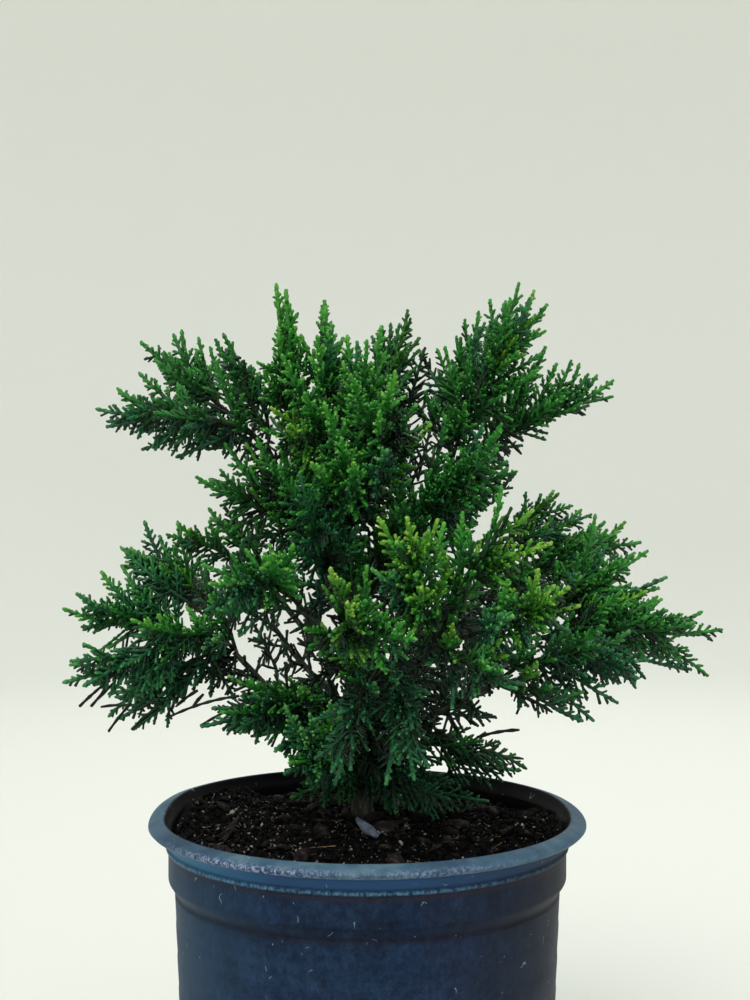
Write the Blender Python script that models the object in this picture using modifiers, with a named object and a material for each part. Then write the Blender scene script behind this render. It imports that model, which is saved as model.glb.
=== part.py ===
"""A young Japanese cedar in a round nursery pot, 0.47 m tall with the pot.

The trunk leaves the soil a little behind the middle of the pot and leans forward to its tip.
Boughs leave the trunk on all sides, and masses of foliage grow from their ends and from the trunk.
Each mass is one stem with plumes branching from it by a seeded rule, and flat toothed sprays
fused on the plumes. The origin is the middle of the pot's flat underside, with +Z up and the
side that is seen first facing -Y.
"""
import math
import random

import bmesh
import bpy
from mathutils import Matrix, Vector
from mathutils.bvhtree import BVHTree

MM = 0.001
GAP = 0.3 * MM

# Pot and soil, in millimetres from the underside and from the middle
POT_HEIGHT = 190
POT_SIDES = 32
RIM_RADIUS = 115
RIM_INNER_RADIUS = 106.5
RIM_DEPTH = 6.5
RIM_ROUNDING = 2.5
COLLAR_RADIUS = 104.6
COLLAR_DEPTH = 31
BODY_TOP_RADIUS = 101.2
BODY_TOP_DEPTH = 38
FOOT_RADIUS = 95
WALL = 1.6
FLOOR = 2.4
EDGE_ROUNDING = 1.5
SOIL_DEPTH = 14
MOUND_HEIGHT = 8
MOUND_RADIUS = 38
MOUND_FOOT_RADIUS = 78

# Trunk: foot and tip in millimetres, the bend lies straight above the foot
GROUND = POT_HEIGHT - SOIL_DEPTH + MOUND_HEIGHT
TRUNK_FOOT = (-3, 20)
TRUNK_BEND_HEIGHT = 290
TRUNK_TIP = (-20, -18, 378)
TRUNK_RADIUS = 5.0
FLARE_RADIUS = 2.0
FLARE_HEIGHT = 6
TRUNK_STEPS = 12

# Limb ends and twigs, as radii in millimetres
LIMB_END_RADIUS = 2.3
BOUGH_STEPS = 4
BOUGH_SAG = 0.12
STEM_RADIUS = 1.2
STEM_END_RADIUS = 0.9
TWIG_RADIUS = 1.0
TWIG_END_RADIUS = 0.7

# Each bough: height where it leaves the trunk, place of its end, radius at its root
BOUGHS = {
    "bough_front": (224, (2, -56, 268), 3.0),
    "bough_front_right": (252, (34, -76, 288), 3.2),
    "bough_front_left": (270, (-34, -50, 304), 2.9),
    "bough_left": (218, (-72, 12, 274), 3.4),
    "bough_left_upper": (258, (-56, 32, 312), 3.0),
    "bough_upper_left": (314, (-54, -8, 386), 2.8),
    "bough_upper_right": (296, (46, 12, 378), 3.0),
    "bough_right_upper": (282, (68, 34, 312), 3.0),
    "bough_right": (246, (88, 8, 282), 3.3),
    "bough_right_lower": (232, (68, -40, 266), 3.0),
    "bough_back": (270, (-6, 84, 312), 3.0),
    "bough_back_left": (240, (-56, 72, 284), 3.0),
    "bough_back_right": (256, (56, 78, 286), 3.0),
}

# Each mass of foliage: the bough that carries it, or its height on the trunk, the place of its
# tip, and its half width
MASSES = {
    "foliage_leader": ("trunk", (-22, -26, 459), 25),
    "foliage_top_left": (356, (-46, -36, 466), 22),
    "foliage_top_front": (340, (14, -58, 420), 26),
    "foliage_top_back": (346, (18, 56, 457), 26),
    "foliage_top_behind": (328, (-38, 88, 424), 28),
    "foliage_upper_left_outer": ("bough_upper_left", (-140, -24, 403), 25),
    "foliage_upper_left_middle": ("bough_upper_left", (-118, 18, 438), 23),
    "foliage_upper_left_inner": ("bough_upper_left", (-76, -8, 444), 23),
    "foliage_middle_left": (334, (-86, -44, 368), 25),
    "foliage_upper_right_inner": ("bough_upper_right", (62, 40, 462), 23),
    "foliage_upper_right_middle": ("bough_upper_right", (88, -6, 467), 27),
    "foliage_upper_right_outer": ("bough_upper_right", (133, 12, 421), 24),
    "foliage_middle_right": (308, (64, -84, 390), 28),
    "foliage_inner_front": (298, (-32, -76, 370), 27),
    "foliage_right_upper_inner": ("bough_right_upper", (106, 56, 362), 24),
    "foliage_right_upper_outer": ("bough_right_upper", (148, 62, 344), 25),
    "foliage_right_top": ("bough_right", (152, 14, 329), 28),
    "foliage_right_middle": ("bough_right", (187, -8, 288), 21),
    "foliage_right_under": ("bough_right", (180, 34, 262), 22),
    "foliage_right_lower_inner": ("bough_right_lower", (106, -62, 248), 24),
    "foliage_right_lower_outer": ("bough_right_lower", (138, -62, 278), 24),
    "foliage_front_right_inner": ("bough_front_right", (18, -130, 349), 22),
    "foliage_front_right_upper": ("bough_front_right", (66, -112, 353), 24),
    "foliage_front_right_outer": ("bough_front_right", (90, -130, 318), 24),
    "foliage_front_right_lower": ("bough_front_right", (66, -138, 274), 24),
    "foliage_front_middle": ("bough_front", (-8, -140, 312), 24),
    "foliage_front_low_left": ("bough_front", (-16, -110, 232), 20),
    "foliage_front_low_right": ("bough_front", (22, -108, 228), 20),
    "foliage_front_left": ("bough_front_left", (-72, -108, 318), 28),
    "foliage_low_left": (210, (-38, -64, 228), 22),
    "foliage_low_left_outer": (238, (-72, -58, 252), 24),
    "foliage_low_right": (212, (88, 48, 210), 22),
    "foliage_left_middle": ("bough_left", (-164, 8, 298), 23),
    "foliage_left_lower": ("bough_left", (-157, -24, 262), 24),
    "foliage_left_under": ("bough_left", (-134, 10, 238), 22),
    "foliage_left_top": ("bough_left", (-132, 34, 330), 24),
    "foliage_left_upper_outer": ("bough_left_upper", (-102, 2, 344), 23),
    "foliage_left_upper_inner": ("bough_left_upper", (-82, 52, 354), 24),
    "foliage_back_middle": ("bough_back", (-26, 150, 350), 28),
    "foliage_back_lower": ("bough_back", (20, 160, 296), 27),
    "foliage_back_left_outer": ("bough_back_left", (-116, 112, 306), 27),
    "foliage_back_left_inner": ("bough_back_left", (-66, 132, 254), 25),
    "foliage_back_right_outer": ("bough_back_right", (112, 118, 312), 27),
    "foliage_back_right_inner": ("bough_back_right", (66, 138, 254), 25),
}

# Growth rule: shares of a mass's stem where plumes leave it, and how far on they end
STEM_PER_PLUME = 15
FEWEST_PLUMES = 4
MOST_PLUMES = 7
FIRST_PLUME = 0.08
LAST_PLUME = 0.66
PLUME_ADVANCE = 0.30
WIDEST_SHARE = 0.55
WIDEST_SPAN = 0.50
UPTURN = 0.12
GOLDEN_TURN = math.radians(137.5)
TRUNK_SIDE_RISE = 0.8
FAN_ANGLE = math.radians(38)
FAN_OFFSET = 1.9
STEM_BEND = 0.35
STEM_POINTS = 8
STEM_STEPS = 3
END_WIDTH = 0.2
PULL_IN = (1.0, 0.86, 0.72, 0.58)

# Toothed spray: half outline as shares of its length, along and across, from tip to root
SPRAY_LENGTH = 48
SPRAY_HALF_OUTLINE = (
    (1.0, 0.0), (0.76, 0.055), (0.82, 0.19), (0.46, 0.085), (0.52, 0.26), (0.16, 0.045), (0.0, 0.0),
)
SPRAY_CENTRE = 0.36
SPRAY_THICKNESS = 0.085
SPRAY_ROOT = 2.5
SPRAY_TILT = 0.35
TIP_SPRAY_SHARE = 0.6
TWIG_INTO_SPRAY = 0.28
BARE_FROM = 1.15
SHORTEST_SPRAY = 18

# Plain colours and roughness of the parts
COLOURS = {
    "pot": ((0.018, 0.030, 0.055), 0.55),
    "soil": ((0.012, 0.010, 0.009), 0.95),
    "bark": ((0.060, 0.042, 0.026), 0.90),
    "foliage": ((0.020, 0.085, 0.020), 0.60),
    "young foliage": ((0.070, 0.160, 0.020), 0.60),
}
YOUNG_MASSES = "foliage_front_right"


def clear_scene():
    """Remove the objects that a new file starts with."""
    for old in list(bpy.data.objects):
        bpy.data.objects.remove(old)


def new_collection(name):
    """Make a collection in the scene."""
    collection = bpy.data.collections.new(name)
    bpy.context.scene.collection.children.link(collection)
    return collection


def new_material(name):
    """A Principled material with the part's own colour and roughness."""
    colour, roughness = COLOURS[name]
    material = bpy.data.materials.new(name)
    material.use_nodes = True
    shader = material.node_tree.nodes["Principled BSDF"]
    shader.inputs["Base Color"].default_value = (*colour, 1.0)
    shader.inputs["Roughness"].default_value = roughness
    material.diffuse_color = (*colour, 1.0)
    return material


def add_object(name, data, collection, material=None):
    """Link an object for this mesh or curve, with its material."""
    thing = bpy.data.objects.new(name, data)
    collection.objects.link(thing)
    if material is not None:
        data.materials.append(material)
    return thing


def evaluated_mesh(thing):
    """A mesh of the object with its modifiers or its curve's bevel worked out."""
    graph = bpy.context.evaluated_depsgraph_get()
    return bpy.data.meshes.new_from_object(thing.evaluated_get(graph), depsgraph=graph)


def vector(place):
    """A place in millimetres as a vector in metres."""
    return Vector(place) * MM


def bend_path(start, bend, end, shares):
    """Points at the given shares of a quadratic curve that starts out towards its bend."""
    return [
        start * (1 - share) ** 2 + bend * (2 * share * (1 - share)) + end * share ** 2
        for share in shares
    ]


def even_shares(steps):
    """Shares from 0 to 1 in equal steps."""
    return [step / steps for step in range(steps + 1)]


def tapered(first, last, steps):
    """Radii that go evenly from the first to the last."""
    return [first + (last - first) * share for share in even_shares(steps)]


def point_on(path, share):
    """The point at a share of an evenly stepped path, and the direction there."""
    place = min(share, 0.999) * (len(path) - 1)
    step = int(place)
    run = path[step + 1] - path[step]
    return path[step] + run * (place - step), run.normalized()


def square_to(direction, guide):
    """The part of guide that is square to a direction, as a unit vector."""
    side = guide - direction * guide.dot(direction)
    if side.length < 1e-6:
        side = direction.orthogonal()
    return side.normalized()


def turned(name, profile, collection, material):
    """A turned solid: the profile, from axis to axis, swept by a Screw modifier."""
    shape = bmesh.new()
    points = [shape.verts.new((radius * MM, 0, height * MM)) for radius, height in profile]
    for first, second in zip(points, points[1:]):
        shape.edges.new((first, second))
    mesh = bpy.data.meshes.new(name)
    shape.to_mesh(mesh)
    shape.free()
    thing = add_object(name, mesh, collection, material)
    screw = thing.modifiers.new("turn", "SCREW")
    screw.axis = "Z"
    screw.steps = POT_SIDES
    screw.render_steps = POT_SIDES
    screw.use_merge_vertices = True
    screw.merge_threshold = 0.00005
    return thing


def make_pot(collection, material):
    """The pot: a thin tapered wall, a stepped collar, a rolled rim and a flat floor."""
    top = POT_HEIGHT
    inner = [
        (0, FLOOR),
        (FOOT_RADIUS - WALL, FLOOR),
        (BODY_TOP_RADIUS - WALL, top - BODY_TOP_DEPTH),
        (COLLAR_RADIUS - WALL, top - COLLAR_DEPTH),
        (COLLAR_RADIUS - WALL, top - RIM_DEPTH),
        (RIM_INNER_RADIUS, top - EDGE_ROUNDING),
    ]
    rim = [
        (RIM_INNER_RADIUS + EDGE_ROUNDING, top),
        (RIM_RADIUS - RIM_ROUNDING, top),
        (RIM_RADIUS, top - RIM_ROUNDING),
        (RIM_RADIUS, top - RIM_DEPTH),
        (COLLAR_RADIUS + EDGE_ROUNDING / 2, top - RIM_DEPTH - EDGE_ROUNDING),
    ]
    outer = [
        (COLLAR_RADIUS, top - COLLAR_DEPTH),
        (BODY_TOP_RADIUS, top - BODY_TOP_DEPTH),
        (FOOT_RADIUS, EDGE_ROUNDING),
        (FOOT_RADIUS - EDGE_ROUNDING, 0),
        (0, 0),
    ]
    return turned("pot", inner + rim + outer, collection, material)


def make_soil(collection, material):
    """The soil that fills the pot, raised to a low mound round the trunk."""
    clear = WALL + GAP / MM
    top = POT_HEIGHT
    edge = top - SOIL_DEPTH
    profile = [
        (0, GROUND),
        (MOUND_RADIUS, GROUND),
        (MOUND_FOOT_RADIUS, edge + 1),
        (COLLAR_RADIUS - clear, edge),
        (COLLAR_RADIUS - clear, top - COLLAR_DEPTH),
        (BODY_TOP_RADIUS - clear, top - BODY_TOP_DEPTH),
        (FOOT_RADIUS - clear, FLOOR + GAP / MM),
        (0, FLOOR + GAP / MM),
    ]
    return turned("soil", profile, collection, material)


def limb_mesh(points, radii, profile=None, resolution=2):
    """Sweep a tapering limb along points, round by default or with a given profile curve."""
    curve = bpy.data.curves.new("limb", "CURVE")
    curve.dimensions = "3D"
    curve.use_fill_caps = True
    if profile is None:
        curve.bevel_depth = MM
        curve.bevel_resolution = resolution
    else:
        curve.bevel_mode = "OBJECT"
        curve.bevel_object = profile
    spline = curve.splines.new("POLY")
    spline.points.add(len(points) - 1)
    for corner, point, radius in zip(spline.points, points, radii):
        corner.co = (*point, 1.0)
        corner.radius = radius
    holder = add_object("limb", curve, bpy.context.scene.collection)
    mesh = evaluated_mesh(holder)
    bpy.data.objects.remove(holder)
    bpy.data.curves.remove(curve)
    shape = bmesh.new()
    shape.from_mesh(mesh)
    bmesh.ops.remove_doubles(shape, verts=shape.verts, dist=0.00001)
    bmesh.ops.recalc_face_normals(shape, faces=shape.faces)
    shape.to_mesh(mesh)
    shape.free()
    return mesh


def three_sided_profile(collection):
    """A triangle of 1 mm radius, the section of every twig."""
    curve = bpy.data.curves.new("twig section", "CURVE")
    curve.dimensions = "2D"
    spline = curve.splines.new("POLY")
    spline.points.add(2)
    spline.use_cyclic_u = True
    for corner, point in enumerate(spline.points):
        turn = corner * math.tau / 3
        point.co = (MM * math.cos(turn), MM * math.sin(turn), 0, 1)
    section = add_object("twig section", curve, collection)
    section.hide_render = True
    section.display_type = "WIRE"
    return section


class Trunk:
    """The trunk's axis and radius, from its flat foot on the soil to its tip."""

    def __init__(self):
        foot = vector((*TRUNK_FOOT, GROUND)) + Vector((0, 0, GAP))
        bend = vector((*TRUNK_FOOT, TRUNK_BEND_HEIGHT))
        shares = [share ** 1.5 for share in even_shares(TRUNK_STEPS)]
        self.path = bend_path(foot, bend, vector(TRUNK_TIP), shares)
        self.radii = [self.radius(point.z) for point in self.path]

    def radius(self, height):
        """Radius in millimetres: a straight taper with a flare over the last of its foot."""
        rise = height / MM - GROUND
        share = rise / (TRUNK_TIP[2] - GROUND)
        taper = TRUNK_RADIUS + (LIMB_END_RADIUS - TRUNK_RADIUS) * share
        return taper + FLARE_RADIUS * math.exp(-rise / FLARE_HEIGHT)

    def at(self, height):
        """The point of the axis at a height in millimetres, and the axis's direction there."""
        high = next(number for number, point in enumerate(self.path) if point.z >= height * MM)
        run = self.path[high] - self.path[high - 1]
        share = (height * MM - self.path[high - 1].z) / run.z
        return self.path[high - 1] + run * share, run.normalized()


def limb_path(trunk, name):
    """The trunk's axis, or a bough's, from the trunk's axis out and then up to its end."""
    if name == "trunk":
        return trunk.path
    height, end, _ = BOUGHS[name]
    start, _ = trunk.at(height)
    end = vector(end)
    run = end - start
    bend = start + run / 2 - Vector((0, 0, BOUGH_SAG * run.length))
    return bend_path(start, bend, end, even_shares(BOUGH_STEPS))


def make_bough(trunk, cutter, name, collection, material):
    """One tapering bough, its root cut to the trunk's surface and 0.3 mm clear of it."""
    path = limb_path(trunk, name)
    root = BOUGHS[name][2]
    radii = tapered(root, LIMB_END_RADIUS, BOUGH_STEPS)
    bough = add_object(name, limb_mesh(path, radii), collection, material)
    cut = bough.modifiers.new("root", "BOOLEAN")
    cut.operation = "DIFFERENCE"
    cut.object = cutter
    cut.solver = "EXACT"
    mesh = evaluated_mesh(bough)
    bough.modifiers.remove(cut)
    bough.data = mesh
    keep_largest(mesh)
    return bough


class Stem:
    """The stem of one mass: where it starts, its path to the mass's tip, and its half width."""

    def __init__(self, trunk, name):
        carrier, tip, half_width = MASSES[name]
        self.name = name
        self.tip = vector(tip)
        self.half_width = half_width * MM
        if isinstance(carrier, str):
            start, leave = self.from_limb_end(trunk, carrier)
        else:
            start, leave = self.from_trunk_side(trunk, carrier)
        bend = start + leave * (self.tip - start).length * STEM_BEND
        shares = even_shares(STEM_POINTS)
        self.path = bend_path(start, bend, self.tip, shares)
        self.widths = [self.width(share) for share in shares]

    def from_limb_end(self, trunk, carrier):
        """Start on the limb's end; stems that share it fan out evenly round its middle."""
        path = limb_path(trunk, carrier)
        end = path[-1]
        axis = (end - path[-2]).normalized()
        sharers = [name for name, row in MASSES.items() if row[0] == carrier]
        if len(sharers) == 1:
            return end + axis * GAP, axis
        first = square_to(axis, Vector((0, 0, 1)))
        second = axis.cross(first)
        turns = {}
        for name in sharers:
            run = vector(MASSES[name][1]) - end
            turns[name] = math.atan2(run.dot(second), run.dot(first))
        order = sorted(sharers, key=turns.get)
        step = math.tau / len(order)
        drifts = [turns[name] - step * place for place, name in enumerate(order)]
        turn = sum(drifts) / len(drifts) + step * order.index(self.name)
        side = first * math.cos(turn) + second * math.sin(turn)
        leave = axis * math.cos(FAN_ANGLE) + side * math.sin(FAN_ANGLE)
        lift = GAP + STEM_RADIUS * MM * math.sin(FAN_ANGLE)
        return end + axis * lift + side * FAN_OFFSET * MM, leave

    def from_trunk_side(self, trunk, height):
        """Start on the trunk's side, leaving it partly outwards and partly along it."""
        centre, axis = trunk.at(height)
        outward = square_to(axis, self.tip - centre)
        leave = (outward + axis * TRUNK_SIDE_RISE).normalized()
        tilt = math.sqrt(1 - leave.dot(outward) ** 2)
        reach = trunk.radius(centre.z) * MM + GAP + STEM_RADIUS * MM * tilt
        return centre + outward * reach, leave

    def plume_count(self):
        """How many plumes the stem's length has room for."""
        room = round((self.tip - self.path[0]).length / (STEM_PER_PLUME * MM))
        return min(max(room, FEWEST_PLUMES), MOST_PLUMES)

    def share_before_tip(self, distance):
        """The share of the stem whose point lies at a distance from the tip."""
        return next(
            step / 100 for step in range(100, 0, -1)
            if (point_on(self.path, step / 100)[0] - self.tip).length >= distance
        )

    def width(self, share):
        """Half width of the mass at a share of its stem, an ellipse blunt at the tip."""
        span = (share - WIDEST_SHARE) / WIDEST_SPAN
        return self.half_width * math.sqrt(max(1 - span * span, END_WIDTH ** 2))

    def distance(self, place):
        """Distance of a place from the stem, as a share of the mass's half width there."""
        return min((place - point).length / width for point, width in zip(self.path, self.widths))


def owns(stem, stems, place):
    """Whether a place lies nearer to this mass than to any other."""
    own = stem.distance(place)
    return all(own <= other.distance(place) for other in stems if other is not stem)


def plumes(stem, stems):
    """The root and end of each plume of a mass, drawn in until it keeps to its own space."""
    draw = random.Random(stem.name)
    turn = draw.uniform(0, math.tau)
    found = []
    count = stem.plume_count()
    for number in range(count):
        share = FIRST_PLUME + (LAST_PLUME - FIRST_PLUME) * number / (count - 1)
        turn += GOLDEN_TURN
        reach = draw.uniform(0.9, 1.1)
        root, _ = point_on(stem.path, share)
        ahead, direction = point_on(stem.path, share + PLUME_ADVANCE)
        side = square_to(direction, Vector((0, 0, 1)))
        side = Matrix.Rotation(turn, 3, direction) @ side
        end = ahead + side * stem.width(share + PLUME_ADVANCE) * reach
        end.z += UPTURN * (end - root).length
        for pull in PULL_IN:
            place = root.lerp(end, pull)
            if owns(stem, stems, place):
                found.append((root, place))
                break
    return found


def spray_mesh(root, tip, flat):
    """A flat toothed spray from root to tip; flat is a direction square to its face.

    It is a sphere of two rings, whose equator is moved out and in to make the teeth.
    """
    length = (tip - root).length
    along = (tip - root).normalized()
    face = square_to(along, flat)
    across = face.cross(along)
    half = SPRAY_HALF_OUTLINE
    outline = list(half) + [(along_share, -across_share) for along_share, across_share in half[:0:-1]]
    shape = bmesh.new()
    bmesh.ops.create_uvsphere(shape, u_segments=len(outline), v_segments=2, radius=1)
    for vert in shape.verts:
        if abs(vert.co.z) > 0.5:
            rise = math.copysign(SPRAY_THICKNESS / 2, vert.co.z)
            place = (SPRAY_CENTRE, 0, rise)
        else:
            turn = math.atan2(vert.co.y, vert.co.x) % math.tau
            corner = outline[round(turn / math.tau * len(outline)) % len(outline)]
            place = (corner[0], corner[1], 0)
        vert.co = root + (along * place[0] + across * place[1] + face * place[2]) * length
    bmesh.ops.recalc_face_normals(shape, faces=shape.faces)
    mesh = bpy.data.meshes.new("spray")
    shape.to_mesh(mesh)
    shape.free()
    return mesh


def search_tree(mesh, grow=0.0):
    """A tree of the mesh's faces for overlap tests, grown outwards by a clearance."""
    mesh.calc_loop_triangles()
    corners = [vert.co + vert.normal * grow for vert in mesh.vertices]
    faces = [tuple(triangle.vertices) for triangle in mesh.loop_triangles]
    return BVHTree.FromPolygons(corners, faces)


def touches(mesh, obstacles):
    """Whether a mesh comes within the gap of any obstacle."""
    tree = search_tree(mesh, GAP * 1.5)
    return any(tree.overlap(other) for other in obstacles)


def keep_largest(mesh):
    """Drop loose scraps and sealed hollows: only the largest closed shell stays."""
    shape = bmesh.new()
    shape.from_mesh(mesh)
    waiting = set(shape.faces)
    shells = []
    while waiting:
        shell = [waiting.pop()]
        for face in shell:
            for edge in face.edges:
                for neighbour in edge.link_faces:
                    if neighbour in waiting:
                        waiting.remove(neighbour)
                        shell.append(neighbour)
        shells.append(shell)
    shells.sort(key=len)
    for shell in shells[:-1]:
        bmesh.ops.delete(shape, geom=shell, context="FACES")
    loose = [vert for vert in shape.verts if not vert.link_faces]
    bmesh.ops.delete(shape, geom=loose, context="VERTS")
    shape.to_mesh(mesh)
    shape.free()


def is_closed(mesh):
    """Whether every edge of the mesh joins exactly two faces."""
    shape = bmesh.new()
    shape.from_mesh(mesh)
    closed = all(edge.is_manifold for edge in shape.edges)
    shape.free()
    return closed


def spray_face(draw):
    """The direction that a spray faces: any way round, and only a little up or down."""
    turn = draw.uniform(0, math.tau)
    return Vector((math.cos(turn), math.sin(turn), draw.uniform(-SPRAY_TILT, SPRAY_TILT)))


def mass_pieces(stem, stems, section, obstacles):
    """The meshes of a mass: its stem first, then each plume's twig and toothed spray."""
    draw = random.Random(stem.name + " sprays")
    spray_length = min(SPRAY_LENGTH * MM, (stem.tip - stem.path[0]).length * TIP_SPRAY_SHARE)
    stem_share = stem.share_before_tip(spray_length * (1 - TWIG_INTO_SPRAY))
    points = [point_on(stem.path, stem_share * share)[0] for share in even_shares(STEM_STEPS)]
    radii = tapered(STEM_RADIUS, STEM_END_RADIUS, STEM_STEPS)
    pieces = [limb_mesh(points, radii, section)]
    direction = (stem.tip - points[-1]).normalized()
    pieces.append(spray_mesh(stem.tip - direction * spray_length, stem.tip, spray_face(draw)))
    for root, tip in plumes(stem, stems):
        run = tip - root
        direction = run.normalized()
        face = spray_face(draw)
        spray_root = root - direction * SPRAY_ROOT * MM
        twig = None
        if run.length > BARE_FROM * SPRAY_LENGTH * MM:
            spray_root = tip - direction * SPRAY_LENGTH * MM
            twig_end = spray_root + direction * TWIG_INTO_SPRAY * SPRAY_LENGTH * MM
            twig = limb_mesh([root, twig_end], (TWIG_RADIUS, TWIG_END_RADIUS), section)
            if touches(twig, obstacles):
                continue
        spray = spray_mesh(spray_root, tip, face)
        if run.length < SHORTEST_SPRAY * MM or touches(spray, obstacles):
            continue
        pieces.append(spray)
        if twig is not None:
            pieces.append(twig)
    return pieces


def union(name, pieces, collection, material, solver):
    """Fuse the pieces to one mesh with a Boolean union on a collection."""
    loose = new_collection(name + " pieces")
    body = add_object(name, pieces[0].copy(), collection, material)
    for number, mesh in enumerate(pieces[1:]):
        add_object(f"{name} piece {number}", mesh.copy(), loose)
    join = body.modifiers.new("join", "BOOLEAN")
    join.operand_type = "COLLECTION"
    join.collection = loose
    join.operation = "UNION"
    join.solver = solver
    mesh = evaluated_mesh(body)
    body.modifiers.remove(join)
    body.data = mesh
    for thing in list(loose.objects):
        bpy.data.objects.remove(thing)
    bpy.data.collections.remove(loose)
    keep_largest(mesh)
    return body


def make_mass(stem, stems, section, obstacles, collection, material):
    """One mass of foliage, fused; it loses its last sprays only where fusing fails twice."""
    pieces = mass_pieces(stem, stems, section, obstacles)
    while True:
        for solver in ("EXACT", "MANIFOLD"):
            body = union(stem.name, pieces, collection, material, solver)
            if is_closed(body.data):
                return body
            bpy.data.objects.remove(body)
        pieces.pop()


def main():
    """Build the pot, the soil, the trunk, the boughs and the masses of foliage."""
    clear_scene()
    parts = new_collection("potted japanese cedar")
    guides = new_collection("guides")
    materials = {name: new_material(name) for name in COLOURS}
    pot = make_pot(parts, materials["pot"])
    soil = make_soil(parts, materials["soil"])
    trunk = Trunk()
    add_object("trunk", limb_mesh(trunk.path, trunk.radii, resolution=4), parts, materials["bark"])
    fat_radii = [radius + GAP / MM for radius in trunk.radii]
    cutter = add_object("trunk clearance", limb_mesh(trunk.path, fat_radii, resolution=4), guides)
    cutter.hide_render = True
    cutter.display_type = "WIRE"
    for name in BOUGHS:
        make_bough(trunk, cutter, name, parts, materials["bark"])
    bpy.data.objects.remove(cutter)
    section = three_sided_profile(guides)
    stems = [Stem(trunk, name) for name in MASSES]
    obstacles = [search_tree(evaluated_mesh(thing)) for thing in parts.objects]
    for stem in stems:
        young = stem.name.startswith(YOUNG_MASSES)
        material = materials["young foliage" if young else "foliage"]
        mass = make_mass(stem, stems, section, obstacles, parts, material)
        obstacles.append(search_tree(mass.data))
    bpy.data.objects.remove(section)
    bpy.data.collections.remove(guides)
    for thing in (pot, soil):
        thing.data.shade_smooth()


main()
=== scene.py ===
"""The looks of the potted young Japanese cedar, made round its solids.

Every mass of foliage grows again by the rule of the solids: a stem, and plumes that branch from it.
Here each plume carries two further orders of side cords, and every cord is built of its scale
leaves. The trunk and boughs get their bark, the pot its turned rim, and the soil its grains.
"""

import math
import random

import bpy
import numpy as np
from mathutils import Matrix, Vector, noise


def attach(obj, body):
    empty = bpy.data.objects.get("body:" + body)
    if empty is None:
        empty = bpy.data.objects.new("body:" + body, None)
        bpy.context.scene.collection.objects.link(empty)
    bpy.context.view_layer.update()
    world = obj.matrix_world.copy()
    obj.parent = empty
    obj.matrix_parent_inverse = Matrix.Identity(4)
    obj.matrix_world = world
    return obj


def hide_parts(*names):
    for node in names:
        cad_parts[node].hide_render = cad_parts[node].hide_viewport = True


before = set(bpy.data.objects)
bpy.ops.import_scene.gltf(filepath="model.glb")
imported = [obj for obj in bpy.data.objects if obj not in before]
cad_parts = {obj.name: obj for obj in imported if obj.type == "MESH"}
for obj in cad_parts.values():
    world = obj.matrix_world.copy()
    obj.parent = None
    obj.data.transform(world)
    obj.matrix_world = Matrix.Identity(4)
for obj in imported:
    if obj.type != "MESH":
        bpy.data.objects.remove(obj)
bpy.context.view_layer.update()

MM = 0.001
GOLDEN_TURN = math.radians(137.5)
UP = Vector((0, 0, 1))

# Camera of the photograph: level, at this place in millimetres, looking along +Y
CAMERA_PLACE = Vector((4, -765, 356))
CAMERA_LENS = 51.9

# Trunk and growth rule, in millimetres, as in the solids
GAP = 0.3
GROUND = 184
TRUNK_FOOT = (-3, 20)
TRUNK_BEND_HEIGHT = 290
TRUNK_TIP = (-20, -18, 378)
TRUNK_RADIUS = 5.0
FLARE_RADIUS = 2.0
FLARE_HEIGHT = 6
TRUNK_STEPS = 12
LIMB_END_RADIUS = 2.3
BOUGH_STEPS = 4
BOUGH_SAG = 0.12
STEM_RADIUS = 1.2
BOUGH_END_RADIUS = 1.4
BOUGH_SLIMNESS = 0.62
TRUNK_TAPER = 3
TRUNK_END_SHARE = 0.55
OLD_WOOD_HEIGHT = 215
YOUNG_WOOD_HEIGHT = 290

BOUGHS = {
    "bough_front": (224, (2, -56, 268), 3.0),
    "bough_front_right": (252, (34, -76, 288), 3.2),
    "bough_front_left": (270, (-34, -50, 304), 2.9),
    "bough_left": (218, (-72, 12, 274), 3.4),
    "bough_left_upper": (258, (-56, 32, 312), 3.0),
    "bough_upper_left": (314, (-54, -8, 386), 2.8),
    "bough_upper_right": (296, (46, 12, 378), 3.0),
    "bough_right_upper": (282, (68, 34, 312), 3.0),
    "bough_right": (246, (88, 8, 282), 3.3),
    "bough_right_lower": (232, (68, -40, 266), 3.0),
    "bough_back": (270, (-6, 84, 312), 3.0),
    "bough_back_left": (240, (-56, 72, 284), 3.0),
    "bough_back_right": (256, (56, 78, 286), 3.0),
}

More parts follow.
